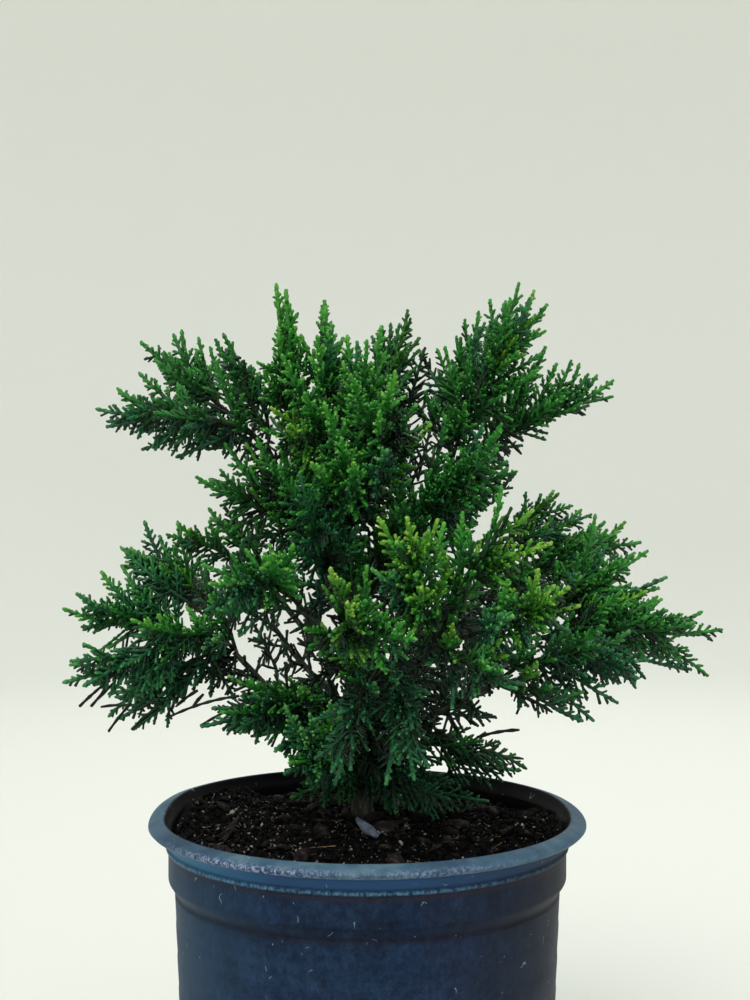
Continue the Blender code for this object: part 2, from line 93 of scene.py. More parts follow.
MASSES = {
    "foliage_leader": ("trunk", (-22, -26, 459), 25),
    "foliage_top_left": (356, (-46, -36, 466), 22),
    "foliage_top_front": (340, (14, -58, 420), 26),
    "foliage_top_back": (346, (18, 56, 457), 26),
    "foliage_top_behind": (328, (-38, 88, 424), 28),
    "foliage_upper_left_outer": ("bough_upper_left", (-140, -24, 403), 25),
    "foliage_upper_left_middle": ("bough_upper_left", (-118, 18, 438), 23),
    "foliage_upper_left_inner": ("bough_upper_left", (-76, -8, 444), 23),
    "foliage_middle_left": (334, (-86, -44, 368), 25),
    "foliage_upper_right_inner": ("bough_upper_right", (62, 40, 462), 23),
    "foliage_upper_right_middle": ("bough_upper_right", (88, -6, 467), 27),
    "foliage_upper_right_outer": ("bough_upper_right", (133, 12, 421), 24),
    "foliage_middle_right": (308, (64, -84, 390), 28),
    "foliage_inner_front": (298, (-32, -76, 370), 27),
    "foliage_right_upper_inner": ("bough_right_upper", (106, 56, 362), 24),
    "foliage_right_upper_outer": ("bough_right_upper", (148, 62, 344), 25),
    "foliage_right_top": ("bough_right", (152, 14, 329), 28),
    "foliage_right_middle": ("bough_right", (187, -8, 288), 21),
    "foliage_right_under": ("bough_right", (180, 34, 262), 22),
    "foliage_right_lower_inner": ("bough_right_lower", (106, -62, 248), 24),
    "foliage_right_lower_outer": ("bough_right_lower", (138, -62, 278), 24),
    "foliage_front_right_inner": ("bough_front_right", (18, -130, 349), 22),
    "foliage_front_right_upper": ("bough_front_right", (66, -112, 353), 24),
    "foliage_front_right_outer": ("bough_front_right", (90, -130, 318), 24),
    "foliage_front_right_lower": ("bough_front_right", (66, -138, 274), 24),
    "foliage_front_middle": ("bough_front", (-8, -140, 312), 24),
    "foliage_front_low_left": ("bough_front", (-16, -110, 232), 20),
    "foliage_front_low_right": ("bough_front", (22, -108, 228), 20),
    "foliage_front_left": ("bough_front_left", (-72, -108, 318), 28),
    "foliage_low_left": (210, (-38, -64, 228), 22),
    "foliage_low_left_outer": (238, (-72, -58, 252), 24),
    "foliage_low_right": (212, (88, 48, 210), 22),
    "foliage_left_middle": ("bough_left", (-164, 8, 298), 23),
    "foliage_left_lower": ("bough_left", (-157, -24, 262), 24),
    "foliage_left_under": ("bough_left", (-134, 10, 238), 22),
    "foliage_left_top": ("bough_left", (-132, 34, 330), 24),
    "foliage_left_upper_outer": ("bough_left_upper", (-102, 2, 344), 23),
    "foliage_left_upper_inner": ("bough_left_upper", (-82, 52, 354), 24),
    "foliage_back_middle": ("bough_back", (-26, 150, 350), 28),
    "foliage_back_lower": ("bough_back", (20, 160, 296), 27),
    "foliage_back_left_outer": ("bough_back_left", (-116, 112, 306), 27),
    "foliage_back_left_inner": ("bough_back_left", (-66, 132, 254), 25),
    "foliage_back_right_outer": ("bough_back_right", (112, 118, 312), 27),
    "foliage_back_right_inner": ("bough_back_right", (66, 138, 254), 25),
}

# Further tips that stand out of a mass, or of the trunk near the soil
TIPS = {
    "foliage_top_left": ((-41, -36, 463),),
    "trunk": ((64, -10, 198), (42, -34, 204), (-40, -20, 202), (-30, 44, 204), (26, 60, 202)),
    "foliage_leader": (
        (-42, -56, 428), (-24, -66, 436), (-48, -52, 402), (-30, -72, 408), (-34, -30, 441),
        (-12, -24, 440), (-38, -74, 392), (-54, -40, 392), (-9, -30, 434),
    ),
    "foliage_top_front": (
        (-8, -80, 416), (6, -86, 398), (24, -78, 402), (-12, -84, 386), (-20, -86, 402),
        (-6, -92, 374), (-26, -88, 374), (10, -88, 380), (0, -50, 436), (-5, -44, 436), (7, -50, 443),
        (-10, -36, 440), (-12, -44, 426),
    ),
    "foliage_top_back": (
        (24, 40, 458), (24, 16, 372), (2, 48, 449), (24, 20, 427), (29, 34, 440), (27, 30, 430),
        (8, 50, 455), (13, 54, 457),
    ),
    "foliage_front_right_inner": ((32, -124, 348), (13, -132, 338), (24, -140, 318), (2, -128, 326)),
    "foliage_front_right_upper": (
        (45, -90, 351), (56, -60, 337), (76, -112, 352), (84, -118, 337), (74, -80, 370), (78, -84, 364),
    ),
    "foliage_front_right_outer": ((76, -130, 326), (64, -140, 306)),
    "foliage_front_middle": ((22, -144, 296),),
    "foliage_front_low_left": ((-15, -90, 222),),
    "foliage_front_low_right": ((9, -90, 222),),
    "foliage_front_left": (
        (-69, -104, 306), (-62, -100, 298), (-52, -100, 292), (-37, -100, 294), (-42, -112, 332),
    ),
    "foliage_inner_front": ((0, -40, 338), (-4, -56, 344), (-52, -70, 352)),
    "foliage_top_behind": ((0, 60, 430), (20, 70, 412), (31, 60, 398), (27, 50, 378)),
    "foliage_upper_left_middle": ((-101, 18, 449), (-91, 10, 444), (-123, 14, 442), (-92, 8, 436), (-84, 2, 438)),
    "foliage_upper_left_inner": ((-59, -8, 435), (-56, -12, 422), (-80, -4, 436), (-72, -4, 428), (-80, -8, 441), (-73, -8, 440)),
    "foliage_upper_left_outer": ((-129, -24, 414), (-118, -14, 382), (-100, -16, 378)),
    "foliage_middle_left": (
        (-81, -30, 367), (-83, -20, 382), (-76, -44, 356), (-56, -34, 388), (-44, -36, 382),
        (-54, -24, 381), (-60, -30, 374), (-68, -20, 377), (-74, -20, 386), (-63, -22, 386),
    ),
    "foliage_upper_right_inner": ((54, 36, 457), (38, 30, 440), (29, 40, 440), (22, 44, 420)),
    "foliage_upper_right_middle": ((80, -6, 471), (94, -10, 445), (65, 0, 463), (93, -6, 434), (88, -8, 424)),
    "foliage_upper_right_outer": (
        (96, 10, 439), (102, 10, 430), (114, 10, 430), (110, 12, 432), (124, 12, 424), (90, 8, 430),
        (107, 10, 424), (120, 12, 422),
    ),
    "foliage_middle_right": (
        (73, -70, 370), (73, -20, 373), (70, -20, 396), (14, -40, 356), (54, -60, 349),
        (20, -24, 376), (24, -20, 364),
    ),
    "foliage_left_top": (
        (-124, 34, 345), (-105, 30, 345), (-115, 30, 337), (-107, 28, 331), (-135, 20, 331),
        (-136, 26, 320),
    ),
    "foliage_left_middle": (
        (-144, 12, 318), (-134, 20, 320), (-151, 4, 304), (-138, 10, 312), (-130, 12, 314),
    ),
    "foliage_left_upper_inner": ((-90, 46, 352),),
    "foliage_left_lower": ((-135, -16, 243),),
    "foliage_left_under": ((-126, 6, 233), (-100, 4, 252), (-84, 6, 250), (-70, 6, 248)),
    "foliage_low_left_outer": ((-84, -40, 242), (-70, -48, 241), (-46, -50, 231)),
    "foliage_low_left": ((-40, -60, 256), (-28, -60, 252), (-18, -64, 258)),
    "foliage_right_upper_inner": (
        (127, 50, 348), (82, 40, 372), (98, 50, 360), (117, 56, 353), (122, 56, 351),
    ),
    "foliage_right_upper_outer": ((136, 60, 344), (142, 56, 338), (130, 60, 349), (156, 56, 332)),
    "foliage_right_top": ((161, 8, 315), (144, 14, 327), (157, 8, 309), (154, 8, 301), (148, 8, 308)),
    "foliage_right_middle": ((167, -4, 296), (156, -4, 304), (149, 0, 308)),
    "foliage_right_under": ((177, 30, 272), (142, 20, 258)),
    "foliage_right_lower_outer": ((125, -50, 255), (113, -50, 246)),
    "foliage_right_lower_inner": ((94, -50, 247), (82, -44, 258)),
    "foliage_low_right": ((73, 30, 226), (86, 40, 205)),
}

# Shoots that stand alone before the sky: root, tip and light. Without light they are bare, and
# painted in the darkest green as painted shade
LONE_SHOOTS = (
    ((-133, -20, 263), (-149, -20, 249), 0), ((-131, -20, 261), (-143, -20, 249), 0),
    ((-122, -20, 251), (-134, -20, 236), 0), ((-108, -20, 249), (-122, -20, 237), 0),
    ((-124, -20, 250), (-138, -20, 249), 0), ((-108, -20, 253), (-119, -20, 247), 0),
    ((-68, 0, 252), (-105, 0, 241), 0), ((-87, 0, 253), (-93, 0, 246), 0),
    ((-90, 0, 255), (-102, 0, 246), 0), ((-66, 0, 248), (-89, 0, 236), 0),
    ((-75, 0, 245), (-83, 0, 245), 0), ((-66, 0, 244), (-75, 0, 233), 0),
    ((-54, 0, 238), (-62, 0, 235), 0), ((43, 0, 247), (69, 0, 240), 0),
    ((51, 0, 248), (61, 0, 238), 0), ((58, 0, 230), (81, 0, 234), 0),
    ((55, 0, 222), (64, 0, 210), 0), ((60, 0, 221), (70, 0, 212), 0),
    ((57, -20, 264), (81, -20, 254), 0), ((81, -20, 254), (77, -20, 245), 0),
    ((60, -20, 261), (68, -20, 259), 0), ((51, -20, 256), (58, -20, 254), 0),
    ((-26, -10, 292), (-41, -10, 286), 0), ((-27, -10, 273), (-37, -10, 284), 0),
    ((-47, -10, 266), (-61, -10, 293), 0.25), ((-39, -10, 268), (-45, -10, 282), 0.2),
    ((60, 0, 224), (85, 0, 213), 0.6), ((81, -20, 254), (96, -20, 246), 0.3),
    ((143, 34, 280), (166, 34, 273), 0.7), ((162, 34, 275), (189, 34, 258), 0.9),
    ((44, -50, 326), (52, -62, 347), 0.8), ((50, -54, 322), (60, -64, 341), 0.8),
    ((-72, 12, 270), (-99, 6, 268), 0.05), ((-74, 10, 272), (-93, 6, 257), 0.05),
    ((-70, 10, 270), (-84, 4, 253), 0.05), ((-78, 12, 276), (-100, 6, 279), 0.05),
    ((-64, 12, 266), (-76, 2, 252), 0.05), ((-128, -22, 271), (-147, -22, 282), 0.9),
    ((-126, -22, 268), (-154, -22, 271), 0.9), ((18, 10, 362), (29, 10, 392), 0.3),
    ((20, 34, 392), (28, 34, 429), 0.4), ((22, 34, 402), (32, 34, 441), 0.4),
    ((70, 0, 395), (83, 0, 387), 0), ((66, 0, 395), (82, 0, 380), 0),
    ((22, 10, 360), (32, 10, 384), 0.3), ((27, 10, 366), (34, 10, 394), 0.4),
    ((62, 0, 391), (76, 0, 380), 0), ((58, 0, 386), (75, 0, 373), 0),
    ((66, 0, 354), (79, 0, 371), 0.5),
)

LONE_SPREAD = 60

# Open sky beside the crown, and gaps in it that some bare shoots cross: centre x and z, and radius,
# as seen by the camera in the upright plane through the pot's axis
OPEN_SKY = (
    (110, 388, 13), (124, 400, 8), (86, 226, 12), (75, 234, 7), (-61, 438, 8), (-60, 456, 11),
    (157, 256, 8), (166, 252, 9), (176, 277, 6), (128, 353, 8), (103, 234, 8), (-102, 222, 9),
    (-84, 229, 6), (88, 386, 5), (-39, 466, 4), (165, 282, 3), (46, 453, 5), (-66, 225, 5),
    (-58, 450, 7), (122, 434, 4), (-136, 258, 3), (-130, 387, 5), (-141, 282, 5), (-131, 281, 4),
    (152, 265, 5), (161, 261, 5), (168, 278, 4), (-85, 377, 5), (-78, 252, 3), (-93, 358, 5),
)
GAPS = (
    (71, 249, 7), (64, 251, 5), (41, 221, 5), (-121, 278, 3),
    (-63, 350, 7), (-79, 357, 4), (-70, 278, 5), (-66, 271, 4), (-73, 291, 4), (-60, 265, 3),
    (-48, 284, 5), (-48, 274, 4), (-41, 293, 6), (-37, 280, 5), (-33, 270, 4), (-24, 278, 4),
    (-40, 305, 4), (-54, 311, 4), (-19, 294, 6), (145, 320, 4), (80, 379, 3), (88, 362, 4),
    (78, 353, 3), (70, 343, 4), (-81, 411, 5), (-61, 409, 3), (-93, 310, 3), (-106, 302, 3), (-58, 288, 5), (-56, 277, 4),
)

# Places between the masses where shade falls, given in the same way: shoots there keep only a share
# of their light, which paints their greens darker as painted shade and leaves them thinner and barer
SHADES = (
    (24, 392, 17), (-19, 302, 12), (-10, 282, 8), (-77, 258, 13), (-57, 363, 8), (50, 261, 14),
    (112, 301, 10), (82, 256, 9), (-2, 222, 12), (-34, 386, 5), (36, 232, 10), (34, 430, 6),
)
GAP_LOOKS = 5
GAP_KEEP = 0.4
GAP_SHORTENING = 0.35
GAP_LIGHT = 0.3
# Share of the light that shoots keep in those places: painted shade
SHADE_LIGHT = 0.25

STEM_PER_PLUME = 15
FEWEST_PLUMES = 4
MOST_PLUMES = 7
FIRST_PLUME = 0.08
LAST_PLUME = 0.66
PLUME_ADVANCE = 0.30
WIDEST_SHARE = 0.55
WIDEST_SPAN = 0.50
UPTURN = 0.12
TRUNK_SIDE_RISE = 0.8
FAN_ANGLE = math.radians(38)
FAN_OFFSET = 1.9
STEM_BEND = 0.35
STEM_POINTS = 8
END_WIDTH = 0.2
PULL_IN = (1.0, 0.86, 0.72, 0.58)

# Pieces of foliage: slot, light from 0 for shade to 1, shares of cool, plain and fresh green, how
# far in degrees their sprays face away from the front, and the starts of the names of the masses
# that it holds. The last one holds the plumes on the boughs
FOLIAGE_PIECES = {
    "foliage_crown_top": ("foliage", 1.04, (0.07, 0.87, 0.06), 180, ("leader", "top_")),
    "foliage_shoulder_left": (
        "foliage", 0.85, (0.1, 0.83, 0.07), 60, ("upper_left", "middle_left", "front_left"),
    ),
    "foliage_shoulder_right": (
        "foliage", 0.87, (0.1, 0.84, 0.06), 90, ("upper_right", "middle_right"),
    ),
    "foliage_crown_right": ("foliage", 0.92, (0.15, 0.75, 0.1), 90, ("right_",)),
    "foliage_crown_left": (
        "foliage", 1.0, (0.6, 0.39, 0.01), 45,
        ("left_top", "left_middle", "left_lower", "left_upper_"),
    ),
    "foliage_crown_front": (
        "foliage_young", 1.06, (0.04, 0.58, 0.38), 120, ("front_right_", "front_middle"),
    ),
    "foliage_crown_back": ("foliage", 0.75, (0.2, 0.7, 0.1), 180, ("back_",)),
    "foliage_crown_low": (
        "foliage_dark", 1.04, (0.5, 0.47, 0.03), 60,
        ("low_", "front_low_", "inner_front", "left_under"),
    ),
    "foliage_on_boughs": ("foliage_dark", 0.35, (0.6, 0.4, 0.0), 70, ()),
}

# Masses that stand further out into the light than the rest of their piece, or behind it
MASS_LIGHT = {
    "foliage_top_back": 0.6,
    "foliage_top_behind": 0.5,
    "foliage_front_left": 1.2,
    "foliage_left_lower": 1.25,
    "foliage_left_under": 1.1,
    "foliage_low_left": 1.1,
    "foliage_middle_right": 0.9,
    "foliage_inner_front": 0.75,
    "foliage_upper_left_inner": 0.85,
}

# Growth of the shoots, in millimetres and degrees. A side shoot is as long as the way left to the
# tip of the axis that carries it allows, and in the light it carries side shoots of its own
PLUME_LENGTH = 48
SHADED_SIDE_STEP = 2.8
LIT_SIDE_STEP = 2.05
SIDE_SHARE = 0.40
SHORTEST_SIDE = 0.8
LONGEST_SIDE = 20
TIP_LEFT = 2.1
BARE_SHARE = 0.2
SIDE_ANGLES = (36, 54)
BRANCHING_LENGTH = 5.5
BRANCHING_LIGHT = 0.4
SHADED_FLATNESS = 0.35
LIT_FLATNESS = 1.4

# Light along a shoot: what a plume gets of it that hangs under its mass, what is left of it at the
# plume's root, and what it gains per millimetre. This light also sets the cords' greens: painted
# shade where it is low, painted light where it is high
HANGING_LIGHT = 0.7
OPEN_SLOPE = 0.6
ROOT_LIGHT = 0.3
LIGHT_GAIN = 0.035
# Chance with no light, and its loss per share of light, that a side shoot takes the next cooler palette: painted
# shade
COOLING = (1.0, 1.2)
UNDERSIDE_SLOPE = -0.25
UNDERSIDE_LIGHT = 0.4
UNDERSIDE_REACH = 1.25

# Cords of scale leaves, in millimetres, and the tones of their greens
SHADED_RADII = (0.84, 0.74, 0.62)
LIT_RADII = (1.06, 0.85, 0.76)
TIP_TONE = 0.6
TIER_LENGTH = 1.6
PLAIN_STEP = 3.2
TIER_LIGHT = 0.5
TWIG_RADIUS = 0.9
LEAF_GLOSS = 0.22
# How many tones lighter a green is painted at full light: painted light and shade on the greens
TONE_GAIN = 5.6
MOTTLE = 0.7

# Shorter plumes between the main ones of a mass, and shaded ones on the trunk and the boughs
TIP_ANGLE = 35
LESSER_PER_PLUME = 2.3
LESSER_FIRST = 0.10
LESSER_LAST = 0.74
LESSER_ADVANCE = 0.22
LESSER_REACH = (0.45, 0.85)
BUSHY_MASSES = (
    "foliage_leader", "foliage_top_front", "foliage_inner_front", "foliage_front_right_outer",
)
BUSHY_PER_PLUME = 3.4
BUSHY_ADVANCE = 0.1
BUSHY_REACH = (0.7, 1.1)
LOW_TIP_FALL = 16
INNER_STEP = 3.6
INNER_FIRST = 0.1
INNER_LENGTH = (20, 44)
INNER_END = 0.6

# Pot and soil, in millimetres, as in the solids
POT_HEIGHT = 190
RIM_RADIUS = 115
RIM_INNER_RADIUS = 106.5
RIM_DEPTH = 6.5
BEAD_DEPTH = 14
COLLAR_RADIUS = 104.6
COLLAR_DEPTH = 31
BODY_TOP_RADIUS = 101.2
BODY_TOP_DEPTH = 38
FOOT_RADIUS = 95
WALL = 1.6
FLOOR = 2.4
SOIL_DEPTH = 14
RIM_LIFT = 3.7
RIM_LIFT_SKEW = 0.25
RIM_LIFT_REACH = (-25, 45)
SOIL_RISE = 0.04
SOIL_HEAPS = (((-92, 42), 40, 13), ((98, -8), 36, 12))
MOUND_RADIUS = 38
MOUND_FOOT_RADIUS = 78
POT_SIDES = 192

# Loose things on the soil: how many, and their shortest and longest size in millimetres
CRUMBS = (4600, 1.1, 4.6)
CHIPS = (190, 3.0, 19.0)
PERLITE = (2600, 0.4, 1.9)
PEBBLES = (34, 1.8, 4.6)
STRAWS = (110, 2.5, 14.0)
STONE_PLACE = (0.5, -31, 188.5)
STONE_RUN = (12.8, -10, -9)
STONE_SIZE = 18

# Stage, in millimetres
STAGE_RADIUS = 4000
STAGE_BEND = 1800
STAGE_BEND_STEPS = 24
STAGE_RIM = 40
STAGE_HEIGHT = 4500
STAGE_SIDES = 96

# Plain greens from shaded to young, as sRGB, for each palette; the darkest ones are painted shade,
# and the lighter ones are partly the fresh green of young growth and partly painted light
PALETTES = {
    "cool": (
        (12, 21, 14), (16, 38, 24), (17, 55, 34), (22, 73, 44),
        (31, 92, 53), (46, 112, 60), (68, 132, 66), (98, 150, 76),
    ),
    "green": (
        (14, 24, 12), (18, 43, 18), (20, 61, 24), (25, 80, 30),
        (33, 102, 35), (49, 124, 40), (74, 144, 50), (108, 160, 66),
    ),
    "fresh": (
        (15, 27, 11), (20, 48, 16), (25, 70, 19), (37, 92, 24),
        (54, 116, 30), (80, 138, 38), (108, 156, 50), (136, 168, 72),
    ),
}


def bend_path(start, bend, end, shares):
    """Points at the given shares of a quadratic curve that starts out towards its bend."""
    return [
        start * (1 - share) ** 2 + bend * (2 * share * (1 - share)) + end * share ** 2
        for share in shares
    ]


def even_shares(steps):
    """Shares from 0 to 1 in equal steps."""
    return [step / steps for step in range(steps + 1)]


def point_on(path, share):
    """The point at a share of an evenly stepped path, and the direction there."""
    place = min(share, 0.999) * (len(path) - 1)
    step = int(place)
    run = path[step + 1] - path[step]
    return path[step] + run * (place - step), run.normalized()


def square_to(direction, guide):
    """The part of guide that is square to a direction, as a unit vector."""
    side = guide - direction * guide.dot(direction)
    if side.length < 1e-6:
        side = direction.orthogonal()
    return side.normalized()


class Trunk:
    """The trunk's axis and radius, from its flat foot on the soil to its tip."""

    def __init__(self):
        foot = Vector((*TRUNK_FOOT, GROUND + GAP))
        bend = Vector((*TRUNK_FOOT, TRUNK_BEND_HEIGHT))
        shares = [share ** 1.5 for share in even_shares(TRUNK_STEPS)]
        self.path = bend_path(foot, bend, Vector(TRUNK_TIP), shares)
        self.radii = [self.radius(point.z) for point in self.path]

    def radius(self, height):
        """Radius: a straight taper with a flare over the last of its foot."""
        rise = height - GROUND
        share = rise / (TRUNK_TIP[2] - GROUND)
        taper = TRUNK_RADIUS + (LIMB_END_RADIUS - TRUNK_RADIUS) * share
        return taper + FLARE_RADIUS * math.exp(-rise / FLARE_HEIGHT)

    def at(self, height):
        """The point of the axis at a height, and the axis's direction there."""
        high = next(number for number, point in enumerate(self.path) if point.z >= height)
        run = self.path[high] - self.path[high - 1]
        share = (height - self.path[high - 1].z) / run.z
        return self.path[high - 1] + run * share, run.normalized()


def limb_path(trunk, name):
    """The trunk's axis, or a bough's, from the trunk's axis out and then up to its end."""
    if name == "trunk":
        return trunk.path
    height, end, _ = BOUGHS[name]
    start, _ = trunk.at(height)
    run = Vector(end) - start
    bend = start + run / 2 - UP * BOUGH_SAG * run.length
    return bend_path(start, bend, Vector(end), even_shares(BOUGH_STEPS))


class Stem:
    """The stem of one mass: where it starts, its path to the mass's tip, and its half width."""

    def __init__(self, trunk, name):
        carrier, tip, half_width = MASSES[name]
        self.name = name
        self.tip = Vector(tip)
        self.half_width = half_width
        if isinstance(carrier, str):
            start, leave = self.from_limb_end(trunk, carrier)
        else:
            start, leave = self.from_trunk_side(trunk, carrier)
        bend = start + leave * (self.tip - start).length * STEM_BEND
        shares = even_shares(STEM_POINTS)
        self.path = bend_path(start, bend, self.tip, shares)
        self.widths = [self.width(share) for share in shares]

    def from_limb_end(self, trunk, carrier):
        """Start on the limb's end; stems that share it fan out evenly round its middle."""
        path = limb_path(trunk, carrier)
        end = path[-1]
        axis = (end - path[-2]).normalized()
        sharers = [name for name, row in MASSES.items() if row[0] == carrier]
        if len(sharers) == 1:
            return end + axis * GAP, axis
        first = square_to(axis, UP)
        second = axis.cross(first)
        turns = {}
        for name in sharers:
            run = Vector(MASSES[name][1]) - end
            turns[name] = math.atan2(run.dot(second), run.dot(first))
        order = sorted(sharers, key=turns.get)
        step = math.tau / len(order)
        drifts = [turns[name] - step * place for place, name in enumerate(order)]
        turn = sum(drifts) / len(drifts) + step * order.index(self.name)
        side = first * math.cos(turn) + second * math.sin(turn)
        leave = axis * math.cos(FAN_ANGLE) + side * math.sin(FAN_ANGLE)
        lift = GAP + STEM_RADIUS * math.sin(FAN_ANGLE)
        return end + axis * lift + side * FAN_OFFSET, leave

    def from_trunk_side(self, trunk, height):
        """Start on the trunk's side, leaving it partly outwards and partly along it."""
        centre, axis = trunk.at(height)
        outward = square_to(axis, self.tip - centre)
        leave = (outward + axis * TRUNK_SIDE_RISE).normalized()
        tilt = math.sqrt(1 - leave.dot(outward) ** 2)
        reach = trunk.radius(centre.z) + GAP + STEM_RADIUS * tilt
        return centre + outward * reach, leave

    def plume_count(self):
        """How many plumes the stem's length has room for."""
        room = round((self.tip - self.path[0]).length / STEM_PER_PLUME)
        return min(max(room, FEWEST_PLUMES), MOST_PLUMES)

    def width(self, share):
        """Half width of the mass at a share of its stem, an ellipse blunt at the tip."""
        span = (share - WIDEST_SHARE) / WIDEST_SPAN
        return self.half_width * math.sqrt(max(1 - span * span, END_WIDTH ** 2))

    def distance(self, place):
        """Distance of a place from the stem, as a share of the mass's half width there."""
        return min((place - point).length / width for point, width in zip(self.path, self.widths))


def owns(stem, stems, place):
    """Whether a place lies nearer to this mass than to any other."""
    own = stem.distance(place)
    return all(own <= other.distance(place) for other in stems if other is not stem)


def plumes(stem, stems):
    """The root and end of each plume of a mass, drawn in until it keeps to its own space."""
    draw = random.Random(stem.name)
    turn = draw.uniform(0, math.tau)
    found = []
    count = stem.plume_count()
    for number in range(count):
        share = FIRST_PLUME + (LAST_PLUME - FIRST_PLUME) * number / (count - 1)
        turn += GOLDEN_TURN
        reach = draw.uniform(0.9, 1.1)
        root, _ = point_on(stem.path, share)
        ahead, direction = point_on(stem.path, share + PLUME_ADVANCE)
        side = Matrix.Rotation(turn, 3, direction) @ square_to(direction, UP)
        end = ahead + side * stem.width(share + PLUME_ADVANCE) * reach
        end.z += UPTURN * (end - root).length
        for pull in PULL_IN:
            place = root.lerp(end, pull)
            if owns(stem, stems, place):
                found.append((root, place))
                break
    return found


class Cord:
    """One bending cord, from its root to its tip; bend is how far its middle is pushed out."""

    def __init__(self, root, tip, bend):
        self.root = root
        self.tip = tip
        self.bend = bend
        self.length = (tip - root).length

    def at(self, share):
        """The point at a share of the cord, and the direction there."""
        first = self.tip - self.root - self.bend
        point = self.root + first * share + self.bend * share * share
        return point, (first + self.bend * 2 * share).normalized()

    def row(self, radii, tones=(0, 0), hue=0, rings=2):
        """The numbers that the mesh of the cord is made from; two values are at root and tip."""
        return (*self.root, *self.tip, *self.bend, *radii, *tones, hue, rings)


def mix(first, second, share):
    """The value at a share of the way from first to second."""
    return first + (second - first) * share


def beside(along, across, turn, degrees):
    """A direction that leaves another by an angle, on the side that across and turn give."""
    side = Matrix.Rotation(turn, 3, along) @ across
    spread = math.radians(degrees)
    return along * math.cos(spread) + side * math.sin(spread)


def seen_within(place, circles):
    """Whether the camera sees a place within one of some circles."""
    depth = CAMERA_PLACE.y / (CAMERA_PLACE.y - place.y)
    seen_x = mix(CAMERA_PLACE.x, place.x, depth)
    seen_z = mix(CAMERA_PLACE.z, place.z, depth)
    return any(math.hypot(seen_x - x, seen_z - z) < radius for x, z, radius in circles)


def across_a_gap(root, tip):
    """Whether the outer half of a plume stands before or behind a gap that shows sky."""
    looks = [root.lerp(tip, 1 - share / 2) for share in even_shares(GAP_LOOKS)]
    return any(seen_within(place, OPEN_SKY + GAPS) for place in looks)


def exposed(light, run):
    """What a plume that runs one way gets of a light: less where it runs level or hangs."""
    open_share = min(1, max(0, OPEN_SLOPE + run.normalized().z))
    return light * mix(HANGING_LIGHT, 1, open_share)


class Shoot:
    """A shoot of scale leaves: a cord, with the light at its root and at its tip."""

    def __init__(self, cord, order, root_light, tip_light, alone=False):
        self.cord = cord
        self.order = order
        self.lights = (root_light, tip_light)
        self.alone = alone

    def row(self, hue, draw):
        """The numbers of its own cord. In the light it is thicker and in tiers, and its green is lighter:
        partly the fresh green of young growth, partly painted light, and painted shade where its light is low.
        """
        shaded, lit = SHADED_RADII[self.order], LIT_RADII[self.order]
        radii = [mix(shaded, lit, light) for light in self.lights]
        drift = draw.uniform(-0.5, 0.5)
        tones = [TONE_GAIN * light + drift for light in self.lights]
        step = TIER_LENGTH if self.lights[1] > TIER_LIGHT else PLAIN_STEP
        return self.cord.row(radii, tones, hue, max(2, round(self.cord.length / step)))

    def sides(self, face, draw):
        """Its side shoots, on both sides in turn, in the plane that faces one way."""
        length = self.cord.length
        bare = BARE_SHARE * (self.order > 0)
        last = 1 - TIP_LEFT / length
        step = mix(SHADED_SIDE_STEP, LIT_SIDE_STEP, self.lights[1])
        count = round((last - bare) * length / step)
        for number in range(count):
            share = mix(bare, last, (number + draw.uniform(0.2, 0.8)) / count)
            light = mix(*self.lights, share)
            point, along = self.cord.at(share)
            across = square_to(along, face.cross(along))
            flatness = mix(SHADED_FLATNESS, LIT_FLATNESS, light)
            turn = math.pi * (number % 2) + draw.uniform(-flatness, flatness)
            way = beside(along, across, turn, draw.uniform(*SIDE_ANGLES))
            reach = min(SHORTEST_SIDE + SIDE_SHARE * length * (1 - share), LONGEST_SIDE)
            reach *= draw.uniform(0.78, 1.15)
            lift = draw.uniform(0, 0.25)
            if way.z < min(0, along.z) + UNDERSIDE_SLOPE:
                light *= UNDERSIDE_LIGHT
                lift *= UNDERSIDE_LIGHT
                reach *= UNDERSIDE_REACH
            cord = Cord(point, point + way * reach, along * reach * lift)
            # Painted shade: side shoots in a shaded place get darker greens
            if seen_within(cord.tip, SHADES):
                light *= SHADE_LIGHT
            if self.keeps(cord.tip, light, draw):
                # Side shoots that cross a gap get no light: bare, and painted in the darkest green as painted
                # shade
                clear = self.alone or not seen_within(cord.tip, GAPS)
                tip_light = min(light + LIGHT_GAIN * reach, self.lights[1])
                yield Shoot(cord, self.order + 1, light * clear, tip_light * clear, self.alone)

    def keeps(self, tip, light, draw):
        """Whether a side shoot with this tip stays: none in the open sky, and few in a gap."""
        if self.alone:
            return True
        if seen_within(tip, OPEN_SKY):
            return False
        return not seen_within(tip, GAPS) or draw.random() < GAP_KEEP * (1 - light)

    def rows(self, face, hue, draw):
        """The numbers of its cord and of all that it carries; shaded side shoots are painted in cooler
        greens, as painted shade.
        """
        found = [self.row(hue, draw)]
        branches = self.cord.length > BRANCHING_LENGTH and self.lights[1] > BRANCHING_LIGHT
        if self.order == 0 or (self.order == 1 and branches):
            for side in self.sides(face, draw):
                cooler = self.order == 0 and draw.random() < COOLING[0] - COOLING[1] * side.lights[1]
                found += side.rows(face, max(hue - cooler, 0), draw)
        return found


def new_plume(root, tip, light, draw):
    """A plume's main shoot, which bends a little upwards."""
    run = tip - root
    lift = square_to(run.normalized(), UP) * run.length * draw.uniform(0.05, 0.22)
    light = exposed(light, run)
    return Shoot(Cord(root, tip, lift), 0, ROOT_LIGHT * light, light)


